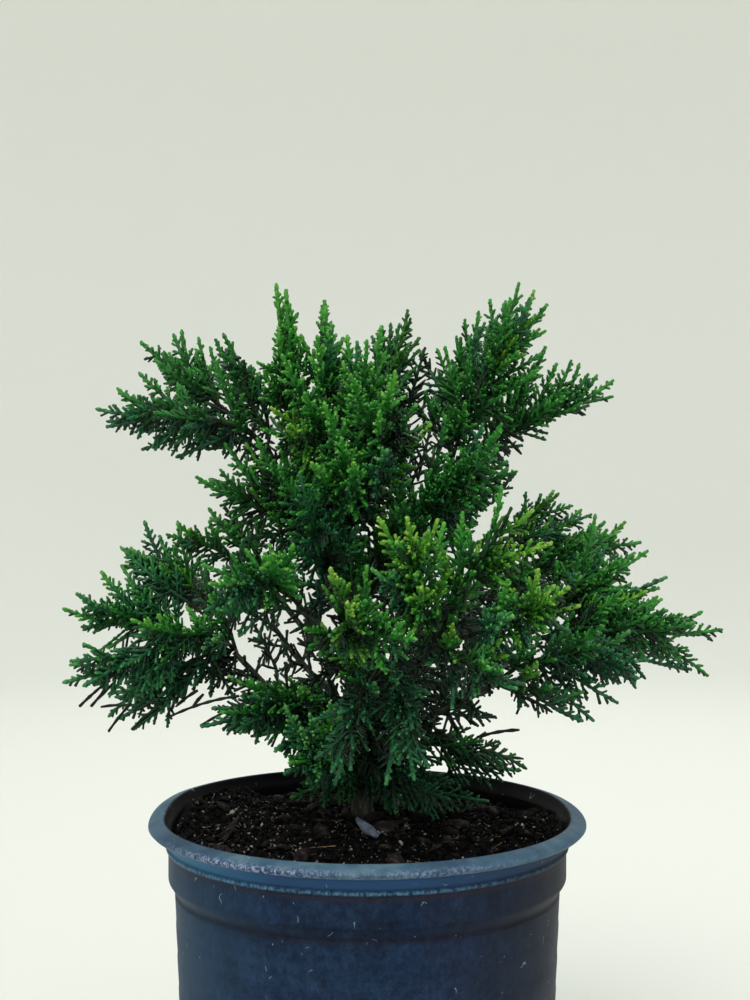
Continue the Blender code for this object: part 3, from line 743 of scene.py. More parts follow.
def lone_shoot(root, tip, light, draw):
    """Rows of a shoot that stands alone and arches over; without light it is one bare cord in the
    darkest green, painted shade.
    """
    arch = -UP * (tip - root).length * draw.uniform(0.1, 0.2)
    shoot = Shoot(Cord(root, tip, arch), 0, ROOT_LIGHT * light, light, alone=True)
    if light == 0:
        return [shoot.row(0, draw)]
    return shoot.rows(spray_face(draw, LONE_SPREAD), int(light > 0.5), draw)


def spray_face(draw, spread):
    """The direction that a spray faces: so far from the front, and only a little up or down."""
    turn = math.radians(draw.uniform(-spread, spread) - 90)
    return Vector((math.cos(turn), math.sin(turn), draw.uniform(-0.35, 0.35)))


def tip_plumes(stem):
    """The root and end of the plumes that reach the further tips of a mass."""
    found = []
    for tip in TIPS.get(stem.name, ()):
        end = Vector(tip)
        roots = []
        for step in range(1, 9):
            root, along = point_on(stem.path, step / 10)
            off = abs(math.degrees(along.angle(end - root)) - TIP_ANGLE)
            roots.append((off, step, root))
        found.append((min(roots)[2], end))
    return found


def lesser_plumes(stem, stems, draw):
    """The root and end of the shorter plumes that fill a mass between its main ones."""
    turn = draw.uniform(0, math.tau)
    found = []
    bushy = stem.name in BUSHY_MASSES
    advance = BUSHY_ADVANCE if bushy else LESSER_ADVANCE
    nearest, furthest = BUSHY_REACH if bushy else LESSER_REACH
    count = round(stem.plume_count() * (BUSHY_PER_PLUME if bushy else LESSER_PER_PLUME))
    for number in range(count):
        share = LESSER_FIRST + (LESSER_LAST - LESSER_FIRST) * number / (count - 1)
        turn += GOLDEN_TURN
        root, direction = point_on(stem.path, share)
        ahead, _ = point_on(stem.path, min(share + advance, 1))
        side = Matrix.Rotation(turn, 3, direction) @ square_to(direction, UP)
        reach = stem.width(min(share + advance, 0.9)) * draw.uniform(nearest, furthest)
        end = ahead + side * reach
        if owns(stem, stems, end) and clear_of_pot(end) and not across_a_gap(root, end):
            found.append((root, end))
    return found


def clear_of_pot(place):
    """Whether a place is above the soil or outside the pot's rim."""
    return place.z > GROUND + 8 or math.hypot(place.x, place.y) > RIM_RADIUS


def grow_mass(stem, stems, light, hues, spread):
    """Rows of the cords of one mass, and rows of its bare twigs."""
    light *= MASS_LIGHT.get(stem.name, 1)
    faces = random.Random(stem.name + " sprays")
    draw = random.Random(stem.name + " cords")
    head, _ = point_on(stem.path, 0.52)
    # A head plume before a gap gets less light: painted shade in darker greens
    head_light = light * GAP_LIGHT if across_a_gap(head, stem.tip) else light
    found = [new_plume(head, stem.tip, head_light, draw)]
    twigs = []
    for first, second in zip(stem.path[:5], stem.path[1:6]):
        twigs.append(Cord(first, second, Vector()).row((STEM_RADIUS, STEM_RADIUS)))
    for root, tip in plumes(stem, stems) + tip_plumes(stem):
        if across_a_gap(root, tip):
            continue
        run = tip - root
        start = root
        if run.length > PLUME_LENGTH:
            start = tip - run.normalized() * PLUME_LENGTH
            twigs.append(Cord(root, start, Vector()).row((TWIG_RADIUS, TWIG_RADIUS)))
        found.append(new_plume(start, tip, light, draw))
    for root, tip in lesser_plumes(stem, stems, draw):
        found.append(new_plume(root, tip, 0.9 * light, draw))
    cords = []
    for plume in found:
        hue = draw.choices(range(len(hues)), hues)[0]
        # Hanging plumes take the coolest palette: painted shade
        hangs = plume.cord.tip.z < plume.cord.root.z
        cords += plume.rows(spray_face(faces, spread), 0 if hangs else hue, draw)
    return cords, twigs


def grow_inner_plumes(trunk, light, hues, spread):
    """Rows of the shaded plumes that leave the trunk and the boughs themselves."""
    draw = random.Random("inner plumes")
    rows = []
    turn = 0
    for tip in TIPS["trunk"]:
        root, _ = trunk.at(tip[2] + LOW_TIP_FALL)
        hue = draw.choices(range(len(hues)), hues)[0]
        plume = new_plume(root, Vector(tip), 2 * light, draw)
        rows += plume.rows(spray_face(draw, spread), hue, draw)
    for name in ("trunk", *BOUGHS):
        path = limb_path(trunk, name)
        length = sum((second - first).length for first, second in zip(path, path[1:]))
        count = round(length / INNER_STEP)
        for number in range(count):
            share = mix(INNER_FIRST, 1, (number + draw.random()) / count)
            turn += GOLDEN_TURN
            point, along = point_on(path, share)
            way = beside(along, square_to(along, UP), turn, draw.uniform(40, 66))
            tip = point + way * draw.uniform(*INNER_LENGTH) * mix(1, INNER_END, share)
            if across_a_gap(point, tip):
                tip = point.lerp(tip, GAP_SHORTENING)
            if clear_of_pot(tip) and tip.z > GROUND + 12:
                hue = draw.choices(range(len(hues)), hues)[0]
                plume = new_plume(point, tip, light * draw.uniform(0.7, 1.3), draw)
                rows += plume.rows(spray_face(draw, spread), hue, draw)
    for root, tip, shoot_light in LONE_SHOOTS:
        rows += lone_shoot(Vector(root), Vector(tip), shoot_light, draw)
    return rows


def cord_points(rows, shares):
    """Centre points and directions of many cords at the given shares, as arrays."""
    root, tip, bend = rows[:, 0:3], rows[:, 3:6], rows[:, 6:9]
    first = tip - root - bend
    share = np.broadcast_to(shares, (len(rows), np.shape(shares)[-1]))[..., None]
    points = root[:, None] + first[:, None] * share + bend[:, None] * share ** 2
    along = first[:, None] + 2 * bend[:, None] * share
    along /= np.linalg.norm(along, axis=2, keepdims=True)
    return points, along


def side_frames(along, draw):
    """Two directions square to each cord's direction at every ring."""
    guide = draw.normal(size=(along.shape[0], 1, 3))
    first = guide - along * np.sum(guide * along, axis=2, keepdims=True)
    first /= np.linalg.norm(first, axis=2, keepdims=True)
    return first, np.cross(along, first)


def scale_cords(rows, rings, draw):
    """Vertices, triangles and greens of cords with the same number of rings.

    Every ring has four corners, and two opposite ones stand out where its pair of scale leaves
    opens. The next pair stands a quarter turn on.
    """
    length = np.linalg.norm(rows[:, 3:6] - rows[:, 0:3], axis=1)[:, None]
    last = 1 - 0.6 * rows[:, 10:11] / length
    shares = np.arange(rings)[None] / (rings - 1) * last
    points, along = cord_points(rows, shares)
    first, second = side_frames(along, draw)
    corner = np.arange(4)
    opening = np.where((corner[None] + np.arange(rings)[:, None]) % 2 == 0, 1.28, 0.86)
    opening[-1] *= 0.82
    radius = (rows[:, 9:10] + (rows[:, 10:11] - rows[:, 9:10]) * shares)[..., None] * opening[None]
    turn = corner * math.pi / 2
    offset = (
        first[:, :, None] * np.cos(turn)[None, None, :, None]
        + second[:, :, None] * np.sin(turn)[None, None, :, None]
    )
    verts = points[:, :, None] + offset * radius[..., None]
    verts = verts.reshape(len(rows), -1, 3)
    verts = np.concatenate([verts, rows[:, None, 3:6]], axis=1)
    faces, row_of = [], []
    for ring in range(rings - 1):
        for side in range(4):
            a = ring * 4 + side
            b = ring * 4 + (side + 1) % 4
            faces += [(a, b, b + 4), (a, b + 4, a + 4)]
            row_of += [ring] * 2
    top = (rings - 1) * 4
    for side in range(4):
        faces.append((top + side, top + (side + 1) % 4, top + 4))
        row_of.append(rings - 1)
    faces = np.array(faces)[None] + (np.arange(len(rows)) * verts.shape[1])[:, None, None]
    tones = rows[:, 11:12] + (rows[:, 12:13] - rows[:, 11:12]) * shares
    tones += draw.uniform(-MOTTLE, MOTTLE, tones.shape)
    tones[:, -1] += TIP_TONE * (rows[:, 12] > 1)
    steps = len(PALETTES["green"])
    places = np.clip(np.round(tones), 0, steps - 1) + steps * rows[:, 13:14]
    return verts.reshape(-1, 3), faces.reshape(-1, 3), places[:, row_of].ravel()


def cords_mesh(rows, seed):
    """All the cords of a piece, made group by group of equal ring counts."""
    rows = np.array(rows)
    draw = np.random.default_rng(seed)
    verts, faces, places, base = [], [], [], 0
    for rings in np.unique(rows[:, 14]).astype(int):
        group = scale_cords(rows[rows[:, 14] == rings], rings, draw)
        verts.append(group[0])
        faces.append(group[1] + base)
        places.append(group[2])
        base += len(group[0])
    return np.concatenate(verts), np.concatenate(faces), np.concatenate(places)


def plain_tubes(rows, sides, rings, draw, end_share):
    """Vertices and triangles of plain tubes that narrow to a share of their radius."""
    rows = np.array(rows)
    shares = np.linspace(0, 1, rings)
    points, along = cord_points(rows, shares)
    first, second = side_frames(along, draw)
    turn = np.arange(sides) * math.tau / sides
    offset = (
        first[:, :, None] * np.cos(turn)[None, None, :, None]
        + second[:, :, None] * np.sin(turn)[None, None, :, None]
    )
    taper = 1 + (end_share - 1) * shares
    radius = rows[:, 9][:, None] * taper[None]
    verts = (points[:, :, None] + offset * radius[:, :, None, None]).reshape(len(rows), -1, 3)
    faces = []
    for ring in range(rings - 1):
        for side in range(sides):
            a = ring * sides + side
            b = ring * sides + (side + 1) % sides
            faces += [(a, b, b + sides), (a, b + sides, a + sides)]
    last = (rings - 1) * sides
    for side in range(1, sides - 1):
        faces.append((0, side + 1, side))
        faces.append((last, last + side, last + side + 1))
    faces = np.array(faces)[None] + (np.arange(len(rows)) * verts.shape[1])[:, None, None]
    return verts.reshape(-1, 3), faces.reshape(-1, 3)


def mesh_object(name, verts, faces, places, materials):
    """A smooth-shaded object from arrays in millimetres; places are its faces' materials."""
    mesh = bpy.data.meshes.new(name)
    mesh.vertices.add(len(verts))
    mesh.vertices.foreach_set("co", (np.asarray(verts) * MM).astype(np.float32).ravel())
    mesh.loops.add(len(faces) * 3)
    mesh.loops.foreach_set("vertex_index", np.asarray(faces, np.int32).ravel())
    mesh.polygons.add(len(faces))
    mesh.polygons.foreach_set("loop_start", np.arange(len(faces), dtype=np.int32) * 3)
    for material in materials:
        mesh.materials.append(material)
    mesh.polygons.foreach_set("material_index", np.broadcast_to(places, len(faces)).astype(np.int32))
    mesh.update(calc_edges=True)
    mesh.shade_smooth()
    thing = bpy.data.objects.new(name, mesh)
    bpy.context.scene.collection.objects.link(thing)
    return thing


def linear(colour):
    """A colour from sRGB numbers up to 255 to the shader's linear ones."""
    shares = [value / 255 for value in colour]
    return tuple(
        share / 12.92 if share <= 0.04045 else ((share + 0.055) / 1.055) ** 2.4 for share in shares
    )


def new_material(name, colour, roughness):
    """A Principled material of one colour, with its shader and its tree."""
    material = bpy.data.materials.new(name)
    material.use_nodes = True
    tree = material.node_tree
    shader = tree.nodes["Principled BSDF"]
    shader.inputs["Base Color"].default_value = (*linear(colour), 1)
    shader.inputs["Roughness"].default_value = roughness
    return material, tree, shader


def leaf_material(name, colour):
    """A green of scale leaves: satin, a little uneven in colour and surface."""
    material, tree, shader = new_material(name, colour, 0.45)
    shader.inputs["Specular IOR Level"].default_value = LEAF_GLOSS
    place = tree.nodes.new("ShaderNodeTexCoord")
    grain = tree.nodes.new("ShaderNodeTexNoise")
    grain.inputs["Scale"].default_value = 420
    grain.inputs["Detail"].default_value = 2
    tree.links.new(place.outputs["Object"], grain.inputs["Vector"])
    ramp = tree.nodes.new("ShaderNodeValToRGB")
    base = np.array(linear(colour))
    ramp.color_ramp.elements[0].position = 0.3
    ramp.color_ramp.elements[0].color = (*(base * 0.72), 1)
    ramp.color_ramp.elements[1].position = 0.7
    ramp.color_ramp.elements[1].color = (*(base * 1.25), 1)
    tree.links.new(grain.outputs["Fac"], ramp.inputs["Fac"])
    tree.links.new(ramp.outputs["Color"], shader.inputs["Base Color"])
    return material


def make_foliage(trunk):
    """The pieces of foliage and the piece of bare twigs."""
    stems = [Stem(trunk, name) for name in MASSES]
    greens = [
        leaf_material(f"{palette} {tone}", colour)
        for palette, colours in PALETTES.items() for tone, colour in enumerate(colours)
    ]
    twigs = []
    for name, (slot, light, hues, spread, starts) in FOLIAGE_PIECES.items():
        prefixes = tuple("foliage_" + start for start in starts)
        held = [stem for stem in stems if prefixes and stem.name.startswith(prefixes)]
        rows = [] if held else grow_inner_plumes(trunk, light, hues, spread)
        for stem in held:
            cords, bare = grow_mass(stem, stems, light, hues, spread)
            rows += cords
            twigs += bare
        piece = mesh_object(name, *cords_mesh(rows, len(rows)), greens)
        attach(piece, "root")
        if held:
            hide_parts(*[stem.name for stem in held])
    bark = earth_material("twig bark", (14, 20, 10), (28, 38, 20), (52, 62, 36), 500, 0.8)
    verts, faces = plain_tubes(twigs, 6, 3, np.random.default_rng(5), 0.8)
    piece = mesh_object("twigs", verts, faces, 0, [bark])
    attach(piece, "root")


def turned(profile, sides):
    """Vertices and triangles of a profile turned round the middle; it starts and ends on it."""
    ring_of = np.array(profile[1:-1], float)
    turn = np.arange(sides) * math.tau / sides
    x = ring_of[:, 0, None] * np.cos(turn)
    y = ring_of[:, 0, None] * np.sin(turn)
    z = np.repeat(ring_of[:, 1, None], sides, axis=1)
    verts = np.stack([x, y, z], axis=2).reshape(-1, 3)
    ends = np.array([(0, 0, profile[0][1]), (0, 0, profile[-1][1])], float)
    verts = np.concatenate([verts, ends])
    faces = grid_faces(len(ring_of), sides)
    around = np.arange(sides)
    ahead = (around + 1) % sides
    first, last = len(verts) - 2, len(verts) - 1
    bottom = (len(ring_of) - 1) * sides
    cap = np.stack([np.full(sides, first), around, ahead], axis=1)
    floor = np.stack([np.full(sides, last), bottom + ahead, bottom + around], axis=1)
    return verts, np.concatenate([faces, cap, floor])


def grid_faces(rings, sides):
    """Triangles between closed rings of corners."""
    ring = np.arange(rings - 1)[:, None] * sides
    around = np.arange(sides)[None]
    ahead = (around + 1) % sides
    a, b, c, d = ring + around, ring + ahead, ring + sides + ahead, ring + sides + around
    return np.stack([np.stack([a, c, b], 2), np.stack([a, d, c], 2)], 2).reshape(-1, 3)


def rounded(corners, radius, steps=4):
    """A profile whose inner corners are rounded with small arcs."""
    path = [corners[0]]
    for before, corner, after in zip(corners, corners[1:], corners[2:]):
        here = Vector(corner)
        back = Vector(before) - here
        ahead = Vector(after) - here
        cut = min(radius, back.length * 0.45, ahead.length * 0.45)
        start = here + back.normalized() * cut
        end = here + ahead.normalized() * cut
        for step in range(steps + 1):
            share = step / steps
            path.append(tuple(
                start * (1 - share) ** 2 + here * (2 * share * (1 - share)) + end * share ** 2
            ))
    path.append(corners[-1])
    return path


def rim_lift(x, y):
    """How far the slightly bent rim stands up at the back, most of all at the back left."""
    low, high = RIM_LIFT_REACH
    share = min(1.0, max(0.0, (y - low) / (high - low)))
    return RIM_LIFT * (1 - RIM_LIFT_SKEW * x / RIM_RADIUS) * share * share * (3 - 2 * share)


def make_pot():
    """The pot: rolled rim with a bead under it, stepped collar, tapered wall with faint ribs."""
    top = POT_HEIGHT
    inner = [
        (0, FLOOR), (FOOT_RADIUS - WALL, FLOOR), (BODY_TOP_RADIUS - WALL, top - BODY_TOP_DEPTH),
        (COLLAR_RADIUS - WALL, top - COLLAR_DEPTH), (COLLAR_RADIUS - WALL, top - RIM_DEPTH),
        (RIM_INNER_RADIUS - 1.2, top - 3.5), (RIM_INNER_RADIUS, top - 0.5),
    ]
    rim = [
        (RIM_INNER_RADIUS + 0.8, top), (RIM_RADIUS - 2.6, top - 1.3), (RIM_RADIUS, top - 2.8),
        (RIM_RADIUS, top - 3.8), (RIM_RADIUS - 1.8, top - RIM_DEPTH + 0.8),
        (RIM_RADIUS - 4.6, top - RIM_DEPTH - 0.2), (COLLAR_RADIUS + 1.4, top - RIM_DEPTH - 0.9),
        (COLLAR_RADIUS + 0.3, top - RIM_DEPTH - 3),
    ]
    bead = [
        (COLLAR_RADIUS + 0.2, top - BEAD_DEPTH + 1.2), (COLLAR_RADIUS + 1.3, top - BEAD_DEPTH + 0.2),
        (COLLAR_RADIUS + 1.3, top - BEAD_DEPTH - 0.8), (COLLAR_RADIUS, top - BEAD_DEPTH - 2),
        (COLLAR_RADIUS, top - 22), (COLLAR_RADIUS, top - COLLAR_DEPTH),
        (BODY_TOP_RADIUS - 0.5, top - BODY_TOP_DEPTH + 1), (BODY_TOP_RADIUS - 0.5, top - BODY_TOP_DEPTH),
        (BODY_TOP_RADIUS, top - BODY_TOP_DEPTH - 1),
    ]
    body = []
    for step in range(1, 9):
        share = step / 9
        radius = BODY_TOP_RADIUS + (FOOT_RADIUS - BODY_TOP_RADIUS) * share
        height = (top - BODY_TOP_DEPTH) * (1 - share)
        body += [(radius, height + 3), (radius + 0.12, height), (radius, height - 3)]
    foot = [(FOOT_RADIUS, 2), (FOOT_RADIUS - 1.5, 0), (0, 0)]
    profile = rounded(inner + rim + bead + body + foot, 1.2)
    profile = [(radius, height) for radius, height in reversed(profile)]
    verts, faces = turned(profile, POT_SIDES)
    for vert in verts:
        share = (vert[2] - (top - COLLAR_DEPTH)) / COLLAR_DEPTH
        vert[2] += rim_lift(vert[0], vert[1]) * max(0.0, share)
    pot = mesh_object("pot_shell", verts, faces[:, ::-1], 0, [pot_material()])
    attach(pot, "root")
    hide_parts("pot")


def noise_node(tree, source, scale, detail, roughness=0.5, stretch=(1, 1, 1)):
    """The strength of a noise that is read from a place, stretched along the axes."""
    mapping = tree.nodes.new("ShaderNodeMapping")
    mapping.inputs["Scale"].default_value = stretch
    tree.links.new(source, mapping.inputs["Vector"])
    grain = tree.nodes.new("ShaderNodeTexNoise")
    grain.inputs["Scale"].default_value = scale
    grain.inputs["Detail"].default_value = detail
    grain.inputs["Roughness"].default_value = roughness
    tree.links.new(mapping.outputs["Vector"], grain.inputs["Vector"])
    return grain.outputs["Fac"]


def ramp_node(tree, source, stops):
    """A colour ramp: stops are places and sRGB colours."""
    ramp = tree.nodes.new("ShaderNodeValToRGB")
    elements = ramp.color_ramp.elements
    while len(elements) < len(stops):
        elements.new(0.5)
    for element, (place, colour) in zip(elements, stops):
        element.position = place
        element.color = (*linear(colour), 1)
    tree.links.new(source, ramp.inputs["Fac"])
    return ramp.outputs["Color"]


def mix_node(tree, factor, first, second, blend="MIX"):
    """A mix of two colours by a factor."""
    mix = tree.nodes.new("ShaderNodeMix")
    mix.data_type = "RGBA"
    mix.blend_type = blend
    mix.clamp_factor = True
    for value, socket in ((factor, mix.inputs[0]), (first, mix.inputs[6]), (second, mix.inputs[7])):
        if isinstance(value, (int, float)):
            socket.default_value = value
        elif isinstance(value, tuple):
            socket.default_value = (*linear(value), 1)
        else:
            tree.links.new(value, socket)
    return mix.outputs[2]


def bump_node(tree, shader, source, strength, distance):
    """Relief on the shader from a strength."""
    bump = tree.nodes.new("ShaderNodeBump")
    bump.inputs["Strength"].default_value = strength
    bump.inputs["Distance"].default_value = distance
    tree.links.new(source, bump.inputs["Height"])
    tree.links.new(bump.outputs["Normal"], shader.inputs["Normal"])


def range_node(tree, source, low, high):
    """A number as a share of the way from low to high."""
    reach = tree.nodes.new("ShaderNodeMapRange")
    reach.inputs["From Min"].default_value = low
    reach.inputs["From Max"].default_value = high
    tree.links.new(source, reach.inputs["Value"])
    return reach.outputs["Result"]


def height_share(tree, source, low, high):
    """The height of a place as a share of the way from low to high, in metres."""
    split = tree.nodes.new("ShaderNodeSeparateXYZ")
    tree.links.new(source, split.inputs["Vector"])
    return range_node(tree, split.outputs["Z"], low, high)


def radius_share(tree, source, low, high):
    """The distance of a place from the pot's axis as a share of the way from low to high."""
    flat = tree.nodes.new("ShaderNodeVectorMath")
    flat.operation = "MULTIPLY"
    flat.inputs[1].default_value = (1, 1, 0)
    tree.links.new(source, flat.inputs[0])
    length = tree.nodes.new("ShaderNodeVectorMath")
    length.operation = "LENGTH"
    tree.links.new(flat.outputs["Vector"], length.inputs[0])
    return range_node(tree, length.outputs["Value"], low, high)


def product_node(tree, first, second):
    """The product of two numbers, or of a number and a node's."""
    times = tree.nodes.new("ShaderNodeMath")
    times.operation = "MULTIPLY"
    for value, socket in zip((first, second), times.inputs):
        if isinstance(value, (int, float)):
            socket.default_value = value
        else:
            tree.links.new(value, socket)
    return times.outputs["Value"]


def line_share(tree, place, middle, half_width):
    """1 on a level line round the pot, down to 0 at a half width above and below it, in mm."""
    share = height_share(tree, place, (middle - half_width) * MM, (middle + half_width) * MM)
    black, white = (0, 0, 0), (255, 255, 255)
    return ramp_node(tree, share, [(0.02, black), (0.35, white), (0.65, white), (0.98, black)])


def pot_material():
    """Dusty dark navy plastic: a grey lip, scuffs on its lower edge, flecks of wear on the bead, and
    painted light and shade: lighter on the left, darker on the right, a light line along the bead, a
    lighter band under the rim, and shade along the step, under the bead and on the inside.
    """
    material, tree, shader = new_material("navy plastic", (28, 40, 62), 0.5)
    shader.inputs["Specular IOR Level"].default_value = 0.08
    place = tree.nodes.new("ShaderNodeTexCoord").outputs["Object"]
    top = POT_HEIGHT
    black = (0, 0, 0)

    bands = noise_node(tree, place, 26, 3, 0.6, (0.15, 0.15, 1.6))
    blotches = noise_node(tree, place, 24, 6, 0.65)
    streaks = noise_node(tree, place, 130, 5, 0.65, (1, 1, 0.12))
    flecks = noise_node(tree, place, 560, 4, 0.7, (1, 1, 0.6))
    wall = ramp_node(tree, bands, [(0.34, (16, 32, 58)), (0.52, (25, 46, 76)), (0.7, (36, 62, 92))])
    dusty = ramp_node(tree, blotches, [(0.45, black), (0.72, (120, 120, 120))])
    wall = mix_node(tree, dusty, wall, (50, 74, 98))
    streak = ramp_node(tree, streaks, [(0.46, black), (0.62, (130, 130, 130))])
    wall = mix_node(tree, streak, wall, (50, 71, 98))
    grime = noise_node(tree, place, 70, 6, 0.75, (1, 1, 0.7))
    grime = ramp_node(tree, grime, [(0.36, (166, 166, 166)), (0.64, (255, 255, 255))])
    wall = mix_node(tree, 0.8, wall, grime, "MULTIPLY")
    stipple = noise_node(tree, place, 300, 5, 0.8)
    stipple = ramp_node(tree, stipple, [(0.36, (186, 170, 178)), (0.62, (255, 255, 255))])
    wall = mix_node(tree, 0.9, wall, stipple, "MULTIPLY")
    # Painted light and shade: the wall is painted lighter teal towards the left, where the light falls, and
    # darker grey towards the right, in shade
    split = tree.nodes.new("ShaderNodeSeparateXYZ")
    tree.links.new(place, split.inputs["Vector"])
    right = range_node(tree, split.outputs["X"], 0.02, 0.1)
    wall = mix_node(tree, product_node(tree, 0.7, right), wall, (31, 32, 38))
    left = range_node(tree, split.outputs["X"], -0.04, -0.1)
    wall = mix_node(tree, product_node(tree, 0.6, left), wall, (36, 66, 90))
    # Painted light: a band under the rim is painted lighter blue where the rim's shadow falls, lightest on the
    # left and grey on the right as painted shade
    blue_band = line_share(tree, place, top - 10.4, 4.6)
    band_hue = mix_node(tree, left, (46, 80, 122), (68, 126, 162))
    band_hue = mix_node(tree, right, band_hue, (44, 54, 70))
    wall = mix_node(tree, product_node(tree, 0.85, blue_band), wall, band_hue)
    # Painted shade along the step's crease
    step_line = line_share(tree, place, top - BODY_TOP_DEPTH + 0.6, 3)
    wall = mix_node(tree, product_node(tree, 0.5, step_line), wall, (22, 18, 22))
    # Painted shade under the bead
    under_bead = line_share(tree, place, top - BEAD_DEPTH - 3.2, 1.8)
    wall = mix_node(tree, product_node(tree, 0.5, under_bead), wall, (44, 36, 40))

    # Painted highlight: a light blue line along the bead, broken by flecks of wear, and darker to the right as
    # painted shade
    bead_line = line_share(tree, place, top - BEAD_DEPTH - 0.4, 1.5)
    bead_light_and_wear = ramp_node(tree, flecks, [(0.42, (40, 40, 40)), (0.58, (235, 235, 235))])
    bead_right_shade = mix_node(tree, right, (255, 255, 255), (90, 90, 90))
    bead_light_and_wear = mix_node(tree, 1, bead_light_and_wear, bead_right_shade, "MULTIPLY")
    wall = mix_node(tree, product_node(tree, bead_line, bead_light_and_wear), wall, (86, 128, 160))
    # Painted shade: the pot's inside wall, down to the collar's foot, is painted near black
    low = radius_share(tree, place, (COLLAR_RADIUS - 1) * MM, (COLLAR_RADIUS - 0.4) * MM)
    high = radius_share(tree, place, (RIM_INNER_RADIUS + 0.2) * MM, (RIM_INNER_RADIUS + 1) * MM)
    at_lip = height_share(tree, place, (top - 8) * MM, (top - 7) * MM)
    outside = mix_node(tree, at_lip, low, high)
    below = height_share(tree, place, (top - COLLAR_DEPTH) * MM, (top - COLLAR_DEPTH - 1) * MM)
    outer = tree.nodes.new("ShaderNodeMath")
    outer.operation = "MAXIMUM"
    tree.links.new(outside, outer.inputs[0])
    tree.links.new(below, outer.inputs[1])
    wall = mix_node(tree, outer.outputs["Value"], (4, 4, 9), wall)

    lip = ramp_node(tree, blotches, [(0.34, (42, 64, 84)), (0.5, (62, 90, 110)), (0.66, (98, 122, 134))])
    on_lip = product_node(
        tree,
        height_share(tree, place, (top - 7.6) * MM, (top - 6.8) * MM),
        radius_share(tree, place, (RIM_INNER_RADIUS + 0.2) * MM, (RIM_INNER_RADIUS + 1.4) * MM),
    )
    base = mix_node(tree, on_lip, wall, lip)
    scuffed = product_node(
        tree,
        line_share(tree, place, top - 4.2, 3.1),
        radius_share(tree, place, (RIM_RADIUS - 4.5) * MM, (RIM_RADIUS - 2.5) * MM),
    )
    across = range_node(tree, split.outputs["X"], -RIM_RADIUS * MM, RIM_RADIUS * MM)
    rubbed = [
        (0.05, black), (0.2, (255, 255, 255)), (0.36, (230, 230, 230)), (0.5, (130, 130, 130)),
        (0.62, (200, 200, 200)), (0.85, (60, 60, 60)),
    ]
    scuffed = product_node(tree, scuffed, ramp_node(tree, across, rubbed))
    base = mix_node(tree, product_node(tree, 0.8, scuffed), base, (34, 48, 80))
    nicks = noise_node(tree, place, 620, 4, 0.7, (1, 1, 0.5))
    nicks = ramp_node(tree, nicks, [(0.46, black), (0.58, (235, 235, 235))])
    base = mix_node(tree, product_node(tree, scuffed, nicks), base, (158, 172, 204))

    specks = noise_node(tree, place, 520, 2, 0.5, (1, 1, 0.5))
    speck = ramp_node(tree, specks, [(0.76, black), (0.785, (200, 200, 200))])
    base = mix_node(tree, speck, base, (150, 168, 184))
    curls = noise_node(tree, place, 110, 1, 0.5)
    curls = ramp_node(tree, curls, [(0.49, black), (0.5, (255, 255, 255)), (0.51, black)])
    bare = noise_node(tree, place, 150, 1, 0.5)
    bare = ramp_node(tree, bare, [(0.68, black), (0.72, (220, 220, 220))])
    scratch = mix_node(tree, 1, curls, bare, "MULTIPLY")
    base = mix_node(tree, scratch, base, (160, 178, 190))
    tree.links.new(base, shader.inputs["Base Color"])
    gloss = tree.nodes.new("ShaderNodeMapRange")
    gloss.inputs["To Min"].default_value = 0.36
    gloss.inputs["To Max"].default_value = 0.66
    tree.links.new(blotches, gloss.inputs["Value"])
    tree.links.new(gloss.outputs["Result"], shader.inputs["Roughness"])
    bump_node(tree, shader, flecks, 0.2, 0.0003)
    return material


def mound_height(radius):
    """Height of the soil's surface at a distance from the middle, without its grains."""
    edge = POT_HEIGHT - SOIL_DEPTH
    corners = ((0, GROUND), (MOUND_RADIUS, GROUND), (MOUND_FOOT_RADIUS, edge + 1), (COLLAR_RADIUS, edge))
    return np.interp(radius, [corner[0] for corner in corners], [corner[1] for corner in corners])


def soil_relief(x, y):
    """Lumps and hollows of the soil's surface, which is heaped up at the sides, in mm."""
    slope = SOIL_RISE * y
    for (heap_x, heap_y), reach, height in SOIL_HEAPS:
        away = math.hypot(x - heap_x, y - heap_y) / reach
        slope += height * math.exp(-away * away)
    wide = noise.noise(Vector((x / 17, y / 17, 3.1))) * 1.8
    middle = noise.noise(Vector((x / 6, y / 6, 8.4))) * 1.3
    fine = noise.noise(Vector((x / 2.1, y / 2.1, 1.7))) * 0.9
    return slope + wide + middle + fine


def near_trunk(x, y):
    """Distance of a place on the soil from the trunk's foot."""
    return math.hypot(x - TRUNK_FOOT[0], y - TRUNK_FOOT[1])


def soil_height(x, y):
    """Height of the lumpy soil at a place; it is level round the trunk's foot."""
    calm = min(1.0, max(0.0, (near_trunk(x, y) - 6) / 8))
    return float(mound_height(math.hypot(x, y))) + soil_relief(x, y) * calm


